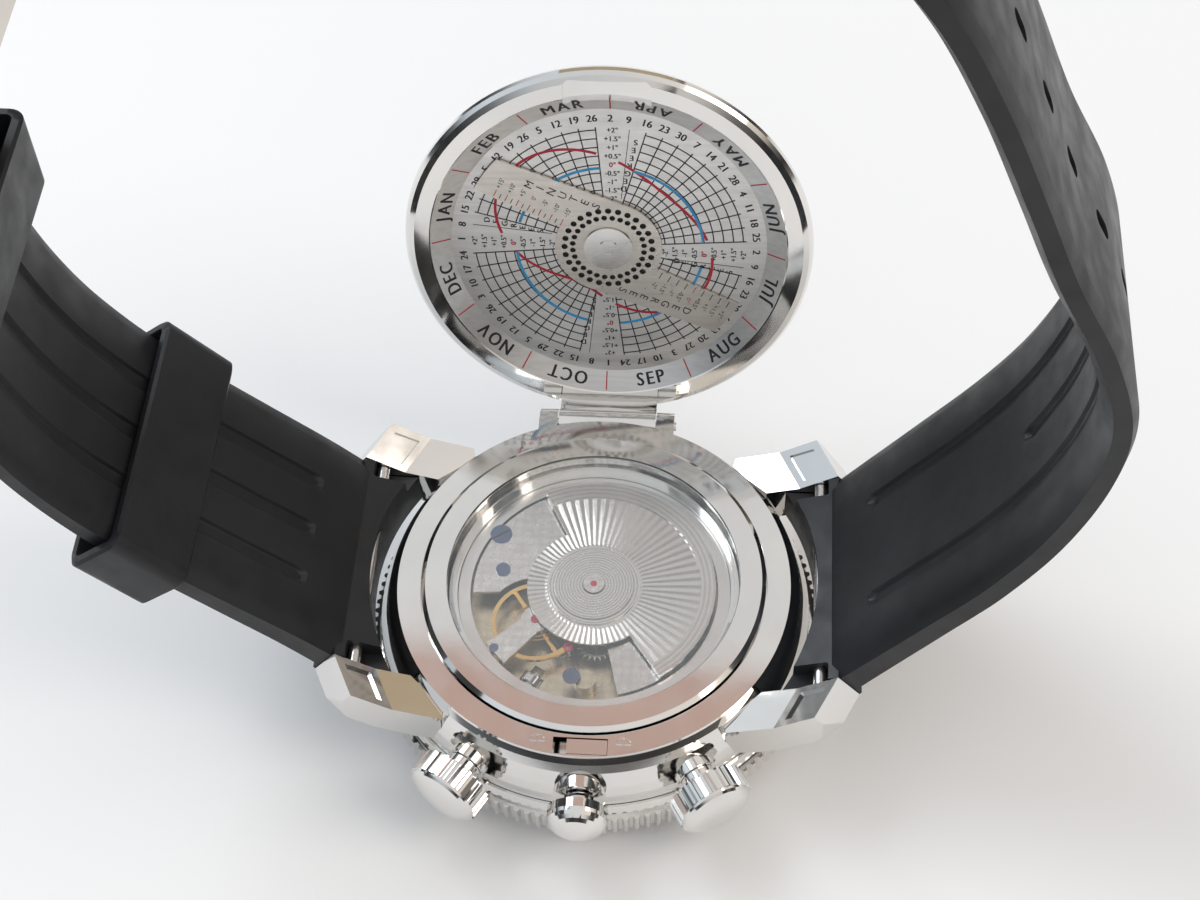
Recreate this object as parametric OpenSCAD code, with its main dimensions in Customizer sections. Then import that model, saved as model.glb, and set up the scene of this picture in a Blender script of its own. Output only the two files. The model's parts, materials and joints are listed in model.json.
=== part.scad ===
// Navigator's wristwatch with a hinged, calculating case-back cover.
// It lies face down: z = 0 is the front crystal's face, +Z points to the case back.
// +X is the 6 o'clock strap, -X the 12 o'clock strap, -Y the crown side, +Y the hinge side.

/* [Case] */
// Radius of the case flank at its widest
case_r = 22.45; // [22.2:0.05:22.6]
// Radius of the sharp edge of the case back
back_r = 20.3; // [20.2:0.05:20.4]
// Height of the case back above the crystal's face
back_z = 12.2; // [12.2:0.05:12.3]
// Clear width between the lugs
lug_gap = 24; // [23.9:0.05:24.1]
// Distance of the spring bars from the case centre
bar_x = 23.3; // [23.2:0.05:23.4]

/* [Bezel and crystals] */
// Tip radius of the scalloped bezel
bezel_r = 23.6; // [23.5:0.05:23.7]
// Number of scallops round the bezel
bezel_teeth = 132; // [96:12:144]
// Radius of the front crystal
crystal_r = 17.5; // [17.4:0.05:17.5]
// Radius of the glass seen in the case back
glass_r = 15.05; // [15:0.05:15.1]

/* [Cover] */
// Angle at which the cover stands open
open_angle = 104; // [100:1:106]
// Outer radius of the cover
lid_r = 21.35; // [21.3:0.05:21.4]
// Radius of the recess inside the cover's lip
lid_recess_r = 18.62; // [18.6:0.02:18.66]
// Radius of the printed disc
grid_r = 16.5; // [16.4:0.05:16.6]
// Angle of the rule on the disc
rule_angle = 26; // [0:1:180]

/* [Crowns and button] */
// Angle of each crown from the 3 o'clock line
crown_angle = 30.5; // [30:0.5:31]
// Height of the crown and button axes
stem_z = 7.9; // [7.9:0.05:8]
// Radius of the fluted crowns
crown_r = 3.9; // [3.7:0.1:3.9]
// Number of flutes on a crown
crown_teeth = 26; // [20:2:30]

/* [Movement] */
// Radius of the movement, eleven and a half lignes across
move_r = 12.9; // [12.85:0.05:12.9]
// Radius of the rotor
rotor_r = 12.65; // [12.5:0.05:12.7]
// Sector that the rotor's heavy half covers
rotor_sector = 172; // [160:1:180]
// Direction of the middle of the rotor's heavy half at rest
rotor_angle = 31.5; // [0:0.5:90]
// Rim radius of the balance
balance_r = 4.6; // [4.5:0.05:4.6]

/* [Strap] */
// Width of the strap between the lugs
strap_w = 23.8; // [23.7:0.05:23.8]
// Strap thickness where it leaves the lugs
strap_root_t = 3.9; // [3.8:0.05:4]
// Strap thickness at its far end
strap_tip_t = 2.8; // [2.7:0.05:2.9]

/* [Hidden] */
$fn = 64;

steel = "silver";
rubber = [0.09, 0.095, 0.1];

// ---- shared shapes -------------------------------------------------------

// A solid of revolution from [radius, height] points.
module turned(points) {
  rotate_extrude() polygon(points);
}

// A flat ring between two radii.
module ring(r_in, r_out, z, h) {
  turned([[r_in, z], [r_out, z], [r_out, z + h], [r_in, z + h]]);
}

// A disc.
module disc(r, z, h) {
  translate([0, 0, z]) cylinder(r = r, h = h);
}

// Points of a wheel's rim: flat-topped teeth between a root and a tip radius.
function tooth_points(n, r_root, r_tip) = [
  for (i = [0 : n - 1], k = [0 : 3])
    let (a = (i + [0, 0.32, 0.5, 0.82][k]) * 360 / n, r = k < 2 ? r_tip : r_root)
      [r * cos(a), r * sin(a)]
];

// Points of a sector of a circle, with the centre as its first point.
function sector_points(r, a0, a1, n = 24) = concat(
  [[0, 0]],
  [for (i = [0 : n]) let (a = a0 + (a1 - a0) * i / n) [r * cos(a), r * sin(a)]]
);

// A bar that points outwards from the case centre, at the stems' height.
module radial(angle, r0, r1, r) {
  rotate([0, 0, angle - 90]) translate([0, -r0, stem_z]) rotate([90, 0, 0])
    cylinder(r = r, h = r1 - r0);
}

// Everything that a crown or button shape is drawn in: local +Z points outwards.
module outward(angle, r0) {
  rotate([0, 0, angle - 90]) translate([0, -r0, stem_z]) rotate([90, 0, 0]) children();
}
function crown_dir(side) = 90 + side * crown_angle;
button_dir = 90;

// ---- case ----------------------------------------------------------------

mid_top = 10.6;
mid_bottom = 5.75;
neck_r = 18.8;
cavity_r = 14.2;
tube_hole_r = 0.95;
hinge_y = 21.43;
hinge_z = back_z - 2;
barrel_half = 5.3;
knuckle_end = 7.4;
barrel_r = 1.5;

// Space that the cover's hinge barrel turns in.
module barrel_space() {
  translate([-barrel_half - 0.1, hinge_y, hinge_z]) rotate([0, 90, 0])
    cylinder(r = barrel_r + 0.2, h = 2 * barrel_half + 0.2);
  translate([-barrel_half - 0.1, back_r + 0.05, hinge_z])
    cube([2 * barrel_half + 0.2, 5, 5]);
  translate([-barrel_half - 0.1, hinge_y - 0.2, hinge_z - 2.2])
    cube([2 * barrel_half + 0.2, 5, 2.3]);
}

boss_top_r = 22.4;
crown_boss_r = 2.1;
button_boss_r = 2.6;
boss_seat_r = 20.4;

module stem_holes() {
  for (side = [-1, 1]) {
    radial(crown_dir(side), 13, 24, tube_hole_r);
    radial(crown_dir(side), boss_seat_r, 24, crown_boss_r);
  }
  radial(button_dir, 17, 24, tube_hole_r);
  intersection() {
    radial(button_dir, boss_seat_r, 24, button_boss_r);
    disc(30, mid_bottom + 0.1, 10);
  }
}

// Convex flank of the case, and of the ring above it, from the bezel upwards.
mid_flank = [
  [case_r - 0.15, mid_bottom], [case_r, 6.6], [case_r - 0.05, 7.6], [case_r - 0.35, 8.8],
  [case_r - 0.75, 9.8], [case_r - 1.1, mid_top]
];
back_flank = [
  [case_r - 1.1, mid_top], [back_r + 0.55, 11.4], [back_r + 0.12, 12.0], [back_r, back_z]
];

module case_middle() {
  color(steel) difference() {
    turned(concat([[17.9, 0.45], [neck_r, 0.45], [neck_r, mid_bottom]], mid_flank, [
      [cavity_r, mid_top], [cavity_r, 6.9], [17, 6.9], [17, 1.9], [17.9, 1.9]
    ]));
    ring(16.2, 17.2, mid_top - 0.4, 1);
    stem_holes();
    barrel_space();
    translate([-3, -20.2, 7]) cube([6, 3, 4]);
  }
}

// Lugs, seen along the edge between two faces of the tip: distance out, then height.
lug_in = lug_gap / 2;
lug_turn = 26.5;
lug_ridge = [24.2, 12.9];
lug_tip = [27.65, 15.5];
lug_slope = atan2(lug_tip[1] - lug_ridge[1], lug_tip[0] - lug_ridge[0]);
lug_profile = [
  [10, 6.8], [20, 7.2], [22.9, 7.65], [24.2, 8.3], [26, 9.05], [28, 10.6], [29.75, 12.3],
  lug_tip, lug_ridge, [20.05, 11.45], [10, 8]
];
module lug() {
  difference() {
    intersection() {
      linear_extrude(height = 17) polygon([
        [13.9, 15.4], [17.6, lug_in], [29, lug_in], [29, 13], [23.6, 16.55], [14.2, 16.55]
      ]);
      rotate([0, 0, lug_turn]) rotate([90, 0, 0]) linear_extrude(height = 60, center = true)
        polygon(lug_profile);
    }
    // seat on the case flank, and room for the closed cover
    turned(concat([[0, mid_bottom]], mid_flank, back_flank, [[0, back_z]]));
    disc(lid_r + 0.25, back_z, 8);
    translate([bar_x, 10, 13.2]) rotate([-90, 0, 0]) cylinder(r = 0.5, h = 3.4);
    // sunk panel in the steep facet of the top
    rotate([0, 0, lug_turn]) translate([lug_ridge[0], 0, lug_ridge[1]])
      rotate([0, -lug_slope, 0]) translate([0, 0, -0.3]) linear_extrude(height = 2)
        polygon([[0.8, 1.8], [3.5, 0.8], [3.5, 4.1], [0.8, 5.3]]);
  }
}

module four_lugs() {
  for (sx = [0, 1], sy = [0, 1]) mirror([sx, 0, 0]) mirror([0, sy, 0]) children();
}

module lugs() {
  color(steel) four_lugs() lug();
}

slot_x = 2.7;
module back_ring() {
  color(steel) difference() {
    union() {
      turned(concat([[17.95, mid_top]], back_flank, [[17.95, back_z]]));
      // hinge knuckles
      for (s = [-1, 1]) intersection() {
        translate([s * (barrel_half + knuckle_end) / 2, 0, 0]) union() {
          translate([-1, hinge_y, hinge_z]) rotate([0, 90, 0])
            cylinder(r = barrel_r, h = 2);
          translate([-1, 18.6, mid_top]) cube([2, hinge_y - 18.6, back_z - mid_top]);
        }
        translate([-10, 18, mid_top]) cube([20, 8, 3]);
      }
    }
    disc(17.95, 5, 10);
    barrel_space();
    hinge_hole();
    translate([-slot_x, -20.05, 10]) cube([2 * slot_x, 1.8, 4]);
    for (s = [-1, 1]) translate([s * 4.25, -18.75, 10.5]) {
      cylinder(r = 0.35, h = 2);
      translate([0, 0, 1.2]) cylinder(r = 0.75, h = 2);
    }
  }
}

module hinge_hole() {
  translate([-8, hinge_y, hinge_z]) rotate([0, 90, 0]) cylinder(r = 0.5, h = 16);
}

module hinge_pin() {
  color(steel) translate([-knuckle_end - 0.15, hinge_y, hinge_z]) rotate([0, 90, 0])
    cylinder(r = 0.5, h = 2 * knuckle_end + 0.3);
}

module latch_screws() {
  color(steel) for (s = [-1, 1]) translate([s * 4.25, -18.75, 0]) difference() {
    union() {
      disc(0.35, mid_top, 1.1);
      disc(0.75, 11.7, 0.45);
    }
    translate([-1, -0.1, 11.95]) cube([2, 0.2, 1]);
    translate([-0.1, -1, 11.95]) cube([0.2, 2, 1]);
  }
}

ring_top = 12.95;
glass_bottom = 11.65;
glass_top = 12.6;
module display_ring() {
  color(steel) turned([
    [14.6, mid_top], [17.93, mid_top], [17.93, 11.2], [17.8, 11.2], [17.8, ring_top - 0.35],
    [17.35, ring_top], [glass_r + 0.1, ring_top], [glass_r, ring_top - 0.15],
    [glass_r, glass_top], [15.4, glass_top], [15.4, glass_bottom], [14.6, glass_bottom]
  ]);
}

module back_crystal() {
  color([0.8, 0.85, 0.9, 0.3]) disc(15.4, glass_bottom, glass_top - glass_bottom);
}

module back_gasket() {
  color(rubber) ring(16.2, 17.2, mid_top - 0.4, 0.4);
}

// ---- front ---------------------------------------------------------------

module bezel() {
  band = 2.5;
  band_z = 1.9;
  color(steel) difference() {
    union() {
      turned([
        [neck_r + 0.08, 0.45], [19.5, 0.3], [21.4, 0.75], [22.7, band_z],
        [22.7, band_z + band], [22.9, band_z + band + 0.3], [22.6, mid_bottom - 0.1],
        [neck_r + 0.08, mid_bottom - 0.1]
      ]);
      translate([0, 0, band_z]) linear_extrude(height = band)
        polygon(tooth_points(bezel_teeth, bezel_r - 0.35, bezel_r));
    }
    disc(neck_r + 0.08, -1, 10);
  }
}

module front_crystal() {
  color([0.8, 0.85, 0.9, 0.3])
    turned([[0, 0], [crystal_r - 0.4, 0], [crystal_r, 0.4], [crystal_r, 1.9], [0, 1.9]]);
}

module front_gasket() {
  color("white") ring(crystal_r, 17.9, 0.7, 1.2);
}

module chapter_ring() {
  color(steel) turned([[16.6, 1.95], [16.95, 1.95], [16.95, 6.4], [15.3, 6.4]]);
}

dial_z = 6.45;
module dial() {
  color("white") difference() {
    disc(16.9, dial_z, 0.4);
    disc(1, dial_z - 1, 3);
  }
}

// Twelve applied hour markers.
module dial_indexes() {
  color(steel) for (i = [0 : 11]) rotate([0, 0, i * 30]) {
    w = i % 3 == 0 ? 1.3 : 0.7;
    translate([11.8, -w / 2, dial_z - 0.25]) cube([2.8, w, 0.25]);
  }
}

// A tapering hand that points along 12 o'clock (-X) before it is turned.
module hand(len, w, z, r_in, r_out, pipe_top, tail = 1.6) {
  difference() {
    union() {
      translate([0, 0, z]) linear_extrude(height = 0.18) union() {
        polygon([[0, -w / 2], [-len * 0.86, -w / 2], [-len, 0], [-len * 0.86, w / 2], [0, w / 2]]);
        polygon([[tail, -w / 3], [tail, w / 3], [0, w / 3], [0, -w / 3]]);
        circle(r = r_out + 0.35);
      }
      disc(r_out, z, pipe_top - z);
    }
    disc(r_in, z - 1, 10);
  }
}

module hour_hand() {
  color("steelblue") rotate([0, 0, 305]) hand(8.2, 1.5, 5.9, 0.72, 0.92, 7.3);
}

module zone_hand() {
  color("crimson") rotate([0, 0, 75]) hand(11.5, 0.7, 5.5, 0.48, 0.66, 7.5);
}

module minute_hand() {
  color("steelblue") rotate([0, 0, 60]) hand(13.2, 1.2, 5.1, 0.26, 0.42, 8.24);
}

module seconds_hand() {
  color("steelblue") union() {
    rotate([0, 0, 210]) hand(14.2, 0.35, 4.7, 0, 0.2, 9.2, 4);
  }
}

// ---- cover ---------------------------------------------------------------

lip_z = back_z + 0.1;
disc_top = lip_z + 1.25;
floor_z = disc_top + 0.5;

// The cover's parts are drawn closed and turned open about the hinge.
module opened() {
  translate([0, hinge_y, hinge_z]) rotate([-open_angle, 0, 0])
    translate([0, -hinge_y, -hinge_z]) children();
}

// Rounded catch recess in the lip, opposite the hinge.
module catch_recess() {
  translate([0, -18.75, lip_z - 1]) {
    translate([-4.4, -0.9, 0]) cube([8.8, 3, 1.45]);
    translate([-3.4, -1.55, 0]) cube([6.8, 3, 1.45]);
    for (s = [-1, 1]) translate([s * 3.6, -0.75, 0]) cylinder(r = 0.8, h = 1.45);
  }
}

module lid_shell() {
  color(steel) opened() difference() {
    union() {
      turned([
        [0, floor_z], [lid_recess_r, floor_z], [lid_recess_r, lip_z + 0.1],
        [lid_recess_r + 0.12, lip_z], [20.3, lip_z], [20.9, lip_z + 0.25],
        [21.25, lip_z + 0.65], [lid_r, lip_z + 1.1], [21.2, lip_z + 1.6],
        [20.8, lip_z + 2.0], [19.6, lip_z + 2.35], [14, lip_z + 2.6], [7, lip_z + 2.72],
        [0, lip_z + 2.75]
      ]);
      // hinge arm and barrel
      translate([-barrel_half, hinge_y, hinge_z]) rotate([0, 90, 0])
        cylinder(r = barrel_r, h = 2 * barrel_half);
      translate([-barrel_half, back_r + 0.25, hinge_z])
        cube([2 * barrel_half, hinge_y + barrel_r - back_r - 0.25, 3.4]);
    }
    translate([-8, hinge_y, hinge_z]) rotate([0, 90, 0]) cylinder(r = 0.55, h = 16);
    disc(lid_recess_r, lip_z - 0.01, floor_z - lip_z + 0.01);
    catch_recess();
    disc(0.8, lip_z, floor_z + 0.4 - lip_z);
  }
}

module month_ring() {
  color("gainsboro") opened() difference() {
    turned([
      [grid_r, disc_top], [lid_recess_r, lip_z + 0.1], [lid_recess_r, floor_z],
      [grid_r, floor_z]
    ]);
    catch_recess();
  }
}

module grid_disc() {
  color("lightgray") opened() difference() {
    disc(grid_r, disc_top, floor_z - disc_top);
    disc(0.8, lip_z, 5);
  }
}

rule_t = 0.3;
rule_gap = 0.06;
rule_bottom = disc_top - rule_gap - rule_t;
module rule_post() {
  color("silver") opened() difference() {
    union() {
      disc(0.8, rule_bottom - 0.2, floor_z + 0.4 - rule_bottom + 0.2);
      disc(2.55, rule_bottom - 0.05 - 0.18, 0.18);
      disc(1.05, rule_bottom - 0.05 - 0.35, 0.3);
    }
    rotate([0, 0, 152]) translate([-3, -0.17, rule_bottom - 0.6]) cube([6, 0.34, 0.5]);
    disc(0.62, rule_bottom - 1, 0.7);
  }
}

// Two arms, each with its reading edge on a line through the centre.
hub_r = 5.6;
arm_r = 15.4;
arm_tip_w = 4.35;
module rule() {
  color("tan") opened() translate([0, 0, rule_bottom]) linear_extrude(height = rule_t)
    difference() {
      union() {
        circle(r = hub_r);
        for (k = [0, 1]) rotate([0, 0, rule_angle + 180 * k]) intersection() {
          polygon([[-1, 0], [arm_r + 1, 0], [arm_r + 1, arm_tip_w - 0.1], [1.2, hub_r - 0.12], [0, 4]]);
          circle(r = arm_r);
        }
      }
      circle(r = 0.86);
      for (i = [0 : 27]) rotate([0, 0, (i + 0.5) * 360 / 28]) translate([3.75, 0])
        circle(r = 0.3, $fn = 16);
      for (i = [0 : 27]) rotate([0, 0, i * 360 / 28]) translate([4.6, 0])
        circle(r = 0.33, $fn = 16);
    }
}

// ---- crowns and button ---------------------------------------------------

stem_r = 0.6;
module case_tubes() {
  color(steel) {
    for (side = [-1, 1]) difference() {
      union() {
        radial(crown_dir(side), 14.3, boss_seat_r, tube_hole_r);
        radial(crown_dir(side), boss_seat_r, boss_top_r + 0.3, crown_boss_r);
      }
      radial(crown_dir(side), 13, 24, stem_r + 0.06);
    }
    difference() {
      union() {
        radial(button_dir, 17.8, boss_seat_r, tube_hole_r);
        intersection() {
          radial(button_dir, boss_seat_r, boss_top_r + 0.2, button_boss_r);
          disc(30, mid_bottom + 0.1, 10);
        }
      }
      radial(button_dir, 17, 24, 0.7);
      radial(button_dir, 21.1, 24, 1.45);
    }
  }
}

module crown(side) {
  head = 24.3;
  outward(crown_dir(side), 0) {
    // neck
    translate([0, 0, boss_top_r + 0.35]) cylinder(r = 1.75, h = head - boss_top_r - 0.35);
    translate([0, 0, head]) linear_extrude(height = 2.3)
      polygon(tooth_points(crown_teeth, crown_r - 0.3, crown_r));
    translate([0, 0, head + 2.3]) rotate_extrude()
      polygon(concat([[0, 0], [crown_r - 0.15, 0]],
        [for (i = [1 : 8]) [(crown_r - 0.15) * cos(i * 90 / 8), 1.25 * sin(i * 90 / 8)]]));
  }
}
module upper_crown() {
  color(steel) crown(-1);
}
module lower_crown() {
  color(steel) crown(1);
}

module stem(side) {
  radial(crown_dir(side), 10.6, boss_top_r + 0.35, stem_r);
}
module upper_stem() {
  color("gray") stem(-1);
}
module lower_stem() {
  color("gray") stem(1);
}

// Winding pinion that the stem slides through.
module winding_pinion(side) {
  difference() {
    outward(crown_dir(side), 11.0)
      linear_extrude(height = 0.9) polygon(tooth_points(14, 0.8, 0.98));
    radial(crown_dir(side), 8, 20, stem_r + 0.03);
  }
}
module upper_pinion() {
  color("gray") winding_pinion(-1);
}
module lower_pinion() {
  color("gray") winding_pinion(1);
}

button_travel = 0.75;
module release_button() {
  head = 24.0;
  dome = 3.05;
  color(steel) outward(button_dir, 0) {
    translate([0, 0, 18.9]) cylinder(r = 0.62, h = 4.8);
    translate([0, 0, 22.95]) cylinder(r = 1.35, h = 0.7);
    translate([0, 0, boss_top_r + 0.3 + button_travel]) cylinder(r = 1.8, h = 0.5);
    translate([0, 0, head]) cylinder(r = dome, h = 0.9);
    translate([0, 0, head + 0.9]) rotate_extrude()
      polygon(concat([[0, 0], [dome, 0]],
        [for (i = [1 : 8]) [dome * cos(i * 90 / 8), 1.9 * sin(i * 90 / 8)]]));
  }
}

// Helical wire spring along local Z.
module helix(r, wire, turns, h, sides = 8, steps = 12) {
  n = turns * steps;
  pts = [for (i = [0 : n], j = [0 : sides - 1])
    let (a = 360 * i / steps, b = 360 * j / sides, q = r + wire * cos(b))
      [q * cos(a), q * sin(a), h * i / n + wire * sin(b)]];
  sidesf = [for (i = [0 : n - 1], j = [0 : sides - 1])
    let (k = (j + 1) % sides)
      [i * sides + j, (i + 1) * sides + j, (i + 1) * sides + k, i * sides + k]];
  polyhedron(points = pts, faces = concat(
    [[for (j = [0 : sides - 1]) j]], sidesf,
    [[for (j = [sides - 1 : -1 : 0]) n * sides + j]]));
}

module button_spring() {
  color("gray") outward(button_dir, 21.25) helix(1.05, 0.12, 4, 1.55);
}

module latch_bolt() {
  color(steel) difference() {
    translate([-1.35, -19.95, 10.75]) cube([4, 1.6, 1.35]);
    translate([-1.35, -20, 10]) rotate([0, -35, 0]) translate([-2, 0, 0]) cube([2, 3, 3]);
  }
}

// ---- movement ------------------------------------------------------------

plate_z = 7;
plate_top = 8.2;
bridge_z = 9.85;
bridge_top = 10.2;
balance_at = [-5.8, -3.9];
cock_foot = [-9.75, -7.5];
escape_at = [0.6, -6.1];
pallet_at = [-2.2, -6.9];
third_at = [4.6, -3.6];
barrel_at = [3.4, 6.4];
arbors = [escape_at, pallet_at, third_at, barrel_at];

module at(p) {
  translate([p[0], p[1], 0]) children();
}

module stem_path() {
  for (side = [-1, 1]) {
    radial(crown_dir(side), 9.8, 15, stem_r + 0.1);
    radial(crown_dir(side), 10.8, 12.1, 1.15);
  }
}

module movement_ring() {
  color("gray") difference() {
    ring(move_r, cavity_r - 0.05, plate_z, bridge_top - plate_z);
    stem_path();
    at([-10.3, 6.4]) disc(1.2, bridge_top - 0.2, 1);
  }
}

module main_plate() {
  color("darkkhaki") difference() {
    union() {
      disc(move_r, plate_z, plate_top - plate_z);
      // pillars that the bridges stand on
      for (p = [[8.6, -7.6], [10.6, 3.2], [-3.8, 10.4], [-10.4, 3.8], [-0.2, -10.4]])
        at(p) disc(1.1, plate_top, bridge_z - plate_top);
      at(cock_foot) disc(0.55, plate_top, 10.05 - plate_top);
    }
    disc(1, 6, 4);
    for (p = concat(arbors, [balance_at])) at(p) disc(0.22, 7.4, 2);
    stem_path();
  }
}

// Blank for a bridge: a sector of the movement, short of its edge.
module sector(r, a0, a1, z, h) {
  translate([0, 0, z]) linear_extrude(height = h) polygon(sector_points(r, a0, a1));
}

module barrel_bridge() {
  color("lightgray") difference() {
    sector(12.6, -75, 118, bridge_z, bridge_top - bridge_z);
    disc(1.5, 5, 8);
    at(balance_at) disc(5.1, 5, 8);
    for (p = arbors) at(p) disc(0.22, 5, 8);
    for (p = jewel_holes) at(p) disc(0.5, bridge_top - 0.2, 1);
    for (p = bridge_screws) at(p) disc(0.62, bridge_top - 0.2, 1);
  }
}

module automatic_bridge() {
  color("gainsboro") difference() {
    union() {
      sector(12.6, 118.5, 184, bridge_z, bridge_top - bridge_z);
      disc(1.45, bridge_z, bridge_top - bridge_z);
    }
    at(balance_at) disc(5.1, 5, 8);
    disc(0.25, 5, 8);
    at([-10.3, 6.4]) disc(1.15, bridge_top - 0.2, 1);
    at([-9.7, 2]) disc(0.75, bridge_top - 0.2, 1);
  }
}

module balance_cock() {
  color("lightgray") difference() {
    translate([0, 0, 10.05]) linear_extrude(height = 0.3) union() {
      at(balance_at) circle(r = 1.5);
      polygon([[-5.2, -5.1], [-6.8, -3.6], [-10.6, -7.0], [-8.6, -9.2]]);
    }
    at(balance_at) disc(0.22, 5, 8);
    at(balance_at) disc(0.45, 10.2, 1);
    disc(6.9, 5, 8);
    at(cock_foot) disc(0.5, 10.15, 1);
  }
}

jewel_holes = [escape_at, pallet_at, third_at];
bridge_screws = [[8.6, -7.6], [10.6, 3.2], [-3.8, 10.4]];

module movement_screws() {
  color("navy") {
    at([-10.3, 6.4]) disc(1.15, bridge_top - 0.2, 0.25);
    at([-9.7, 2]) disc(0.75, bridge_top - 0.2, 0.4);
    for (p = bridge_screws) at(p) disc(0.62, bridge_top - 0.2, 0.25);
    at(cock_foot) disc(0.5, 10.15, 0.15);
    at([-1.6, -10.3]) disc(0.9, bridge_top, 0.1);
  }
}

module jewels() {
  color("crimson") {
    for (p = jewel_holes) at(p) ring(0.22, 0.5, bridge_top - 0.2, 0.2);
    at(balance_at) disc(0.45, 10.2, 0.25);
    disc(0.35, 11.4, 0.1);
  }
}

// Fixed inner race that the rotor turns on.
module rotor_axle() {
  color("silver") difference() {
    union() {
      disc(1.45, bridge_top, 0.4);
      disc(1.1, bridge_top, 1.3);
    }
    disc(0.35, 11.4, 1);
  }
}

module rotor_hub() {
  color("silver") union() {
    turned([
      [1.17, 10.72], [3.4, 10.72], [3.4, 11.0], [4.7, 11.0], [4.7, 11.15], [4.15, 11.15],
      [4.1, 11.3], [1.17, 11.3]
    ]);
  }
}

rotor_in = 11.1;
module rotor_plate() {
  color("gainsboro") translate([0, 0, 10.75]) linear_extrude(height = 0.25) difference() {
    union() {
      circle(r = 6.95);
      rotate(rotor_angle) polygon(sector_points(rotor_in, -rotor_sector / 2, rotor_sector / 2, 48));
    }
    circle(r = 3.4);
  }
}

module rotor_weight() {
  color("silver") rotate([0, 0, rotor_angle]) difference() {
    sector(rotor_r, -rotor_sector / 2, rotor_sector / 2, 10.35, 0.85);
    disc(rotor_in, 5, 9);
  }
}

// A spoked wheel on its arbor.
module wheel(n, r, z, t, arbor_z, arbor_h, spokes = 4, arbor_r = 0.15) {
  translate([0, 0, z]) linear_extrude(height = t) difference() {
    polygon(tooth_points(n, r - 0.12, r));
    difference() {
      circle(r = r - 0.45);
      circle(r = max(0.45, arbor_r + 0.2));
      for (i = [0 : spokes - 1]) rotate([0, 0, i * 360 / spokes])
        translate([0, -0.14]) square([r, 0.28]);
    }
  }
  if (arbor_h > 0) disc(arbor_r, arbor_z, arbor_h);
}

module barrel() {
  color("darkkhaki") at(barrel_at) union() {
    disc(5.0, 8.45, 0.95);
    translate([0, 0, 8.45]) linear_extrude(height = 0.3)
      polygon(tooth_points(84, 5.05, 5.2));
    disc(0.15, 7.5, 2.6);
    disc(1.2, 9.4, 0.2);
  }
}

module centre_wheel() {
  color("goldenrod") difference() {
    wheel(72, 3.2, 8.24, 0.15, 0, 0);
    disc(0.26, 5, 8);
  }
}

module third_wheel() {
  color("goldenrod") at(third_at) wheel(66, 2.35, 8.75, 0.16, 7.5, 2.6);
}

module fourth_wheel() {
  color("goldenrod") wheel(60, 2.3, 9.2, 0.16, 9.2, 0.9, 4, 0.2);
}

module escape_wheel() {
  color("silver") at(escape_at) union() {
    translate([0, 0, 9.45]) linear_extrude(height = 0.14) difference() {
      polygon([for (i = [0 : 19], k = [0 : 2])
        let (a = (i + [0, 0.25, 0.55][k]) * 18, r = [2.0, 1.5, 1.45][k])
          [r * cos(a), r * sin(a)]]);
      difference() {
        circle(r = 1.2);
        circle(r = 0.4);
        for (i = [0 : 3]) rotate([0, 0, i * 90]) translate([0, -0.12]) square([2, 0.24]);
      }
    }
    disc(0.15, 7.5, 2.6);
  }
}

module pallet_fork() {
  color("silver") at(pallet_at) union() {
    translate([0, 0, 8.95]) linear_extrude(height = 0.14) union() {
      circle(r = 0.4);
      rotate([0, 0, 140]) translate([0, -0.1]) square([2.3, 0.2]);
      rotate([0, 0, 60]) translate([0, -0.1]) square([0.9, 0.2]);
      rotate([0, 0, 220]) translate([0, -0.1]) square([0.9, 0.2]);
    }
    disc(0.15, 7.5, 2.6);
  }
}

// A point of the hairspring: 15 degrees a step, growing outwards.
function spiral(i, t) = (0.5 + 0.019 * i + t) * [cos(15 * i), sin(15 * i)];

module balance_wheel() {
  color("gold") at(balance_at) union() {
    ring(balance_r - 0.45, balance_r, 9.5, 0.4);
    for (a = [35, 125]) rotate([0, 0, a])
      translate([-balance_r + 0.3, -0.2, 9.5]) cube([2 * balance_r - 0.6, 0.4, 0.2]);
    disc(0.6, 9.3, 0.65);
    disc(0.15, 7.5, 2.65);
    // hairspring
    translate([0, 0, 9.75]) linear_extrude(height = 0.16) polygon(concat(
      [for (i = [0 : 96]) spiral(i, 0.05)], [for (i = [96 : -1 : 0]) spiral(i, 0)]));
  }
}

// ---- strap ---------------------------------------------------------------

// Smooth curve through a list of points.
function cr(p0, p1, p2, p3, t) = 0.5 * (2 * p1 + (p2 - p0) * t
  + (2 * p0 - 5 * p1 + 4 * p2 - p3) * t * t + (3 * p1 - p0 - 3 * p2 + p3) * t * t * t);
function curve(p, per = 5) = [
  for (i = [0 : len(p) - 2], k = [0 : per - 1])
    cr(p[max(i - 1, 0)], p[i], p[i + 1], p[min(i + 2, len(p) - 1)], k / per),
  p[len(p) - 1]
];
function unit(v) = v / norm(v);
function tangent(c, i) = unit(c[min(i + 1, len(c) - 1)] - c[max(i - 1, 0)]);
// Band between an outer curve and the same curve moved inwards by its thickness.
function band(c, t0, t1) = concat(c, [
  for (i = [len(c) - 1 : -1 : 0])
    let (d = tangent(c, i), t = t0 + (t1 - t0) * min(1, 2 * i / len(c)))
      c[i] + t * [-d[1], d[0]]
]);

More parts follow.
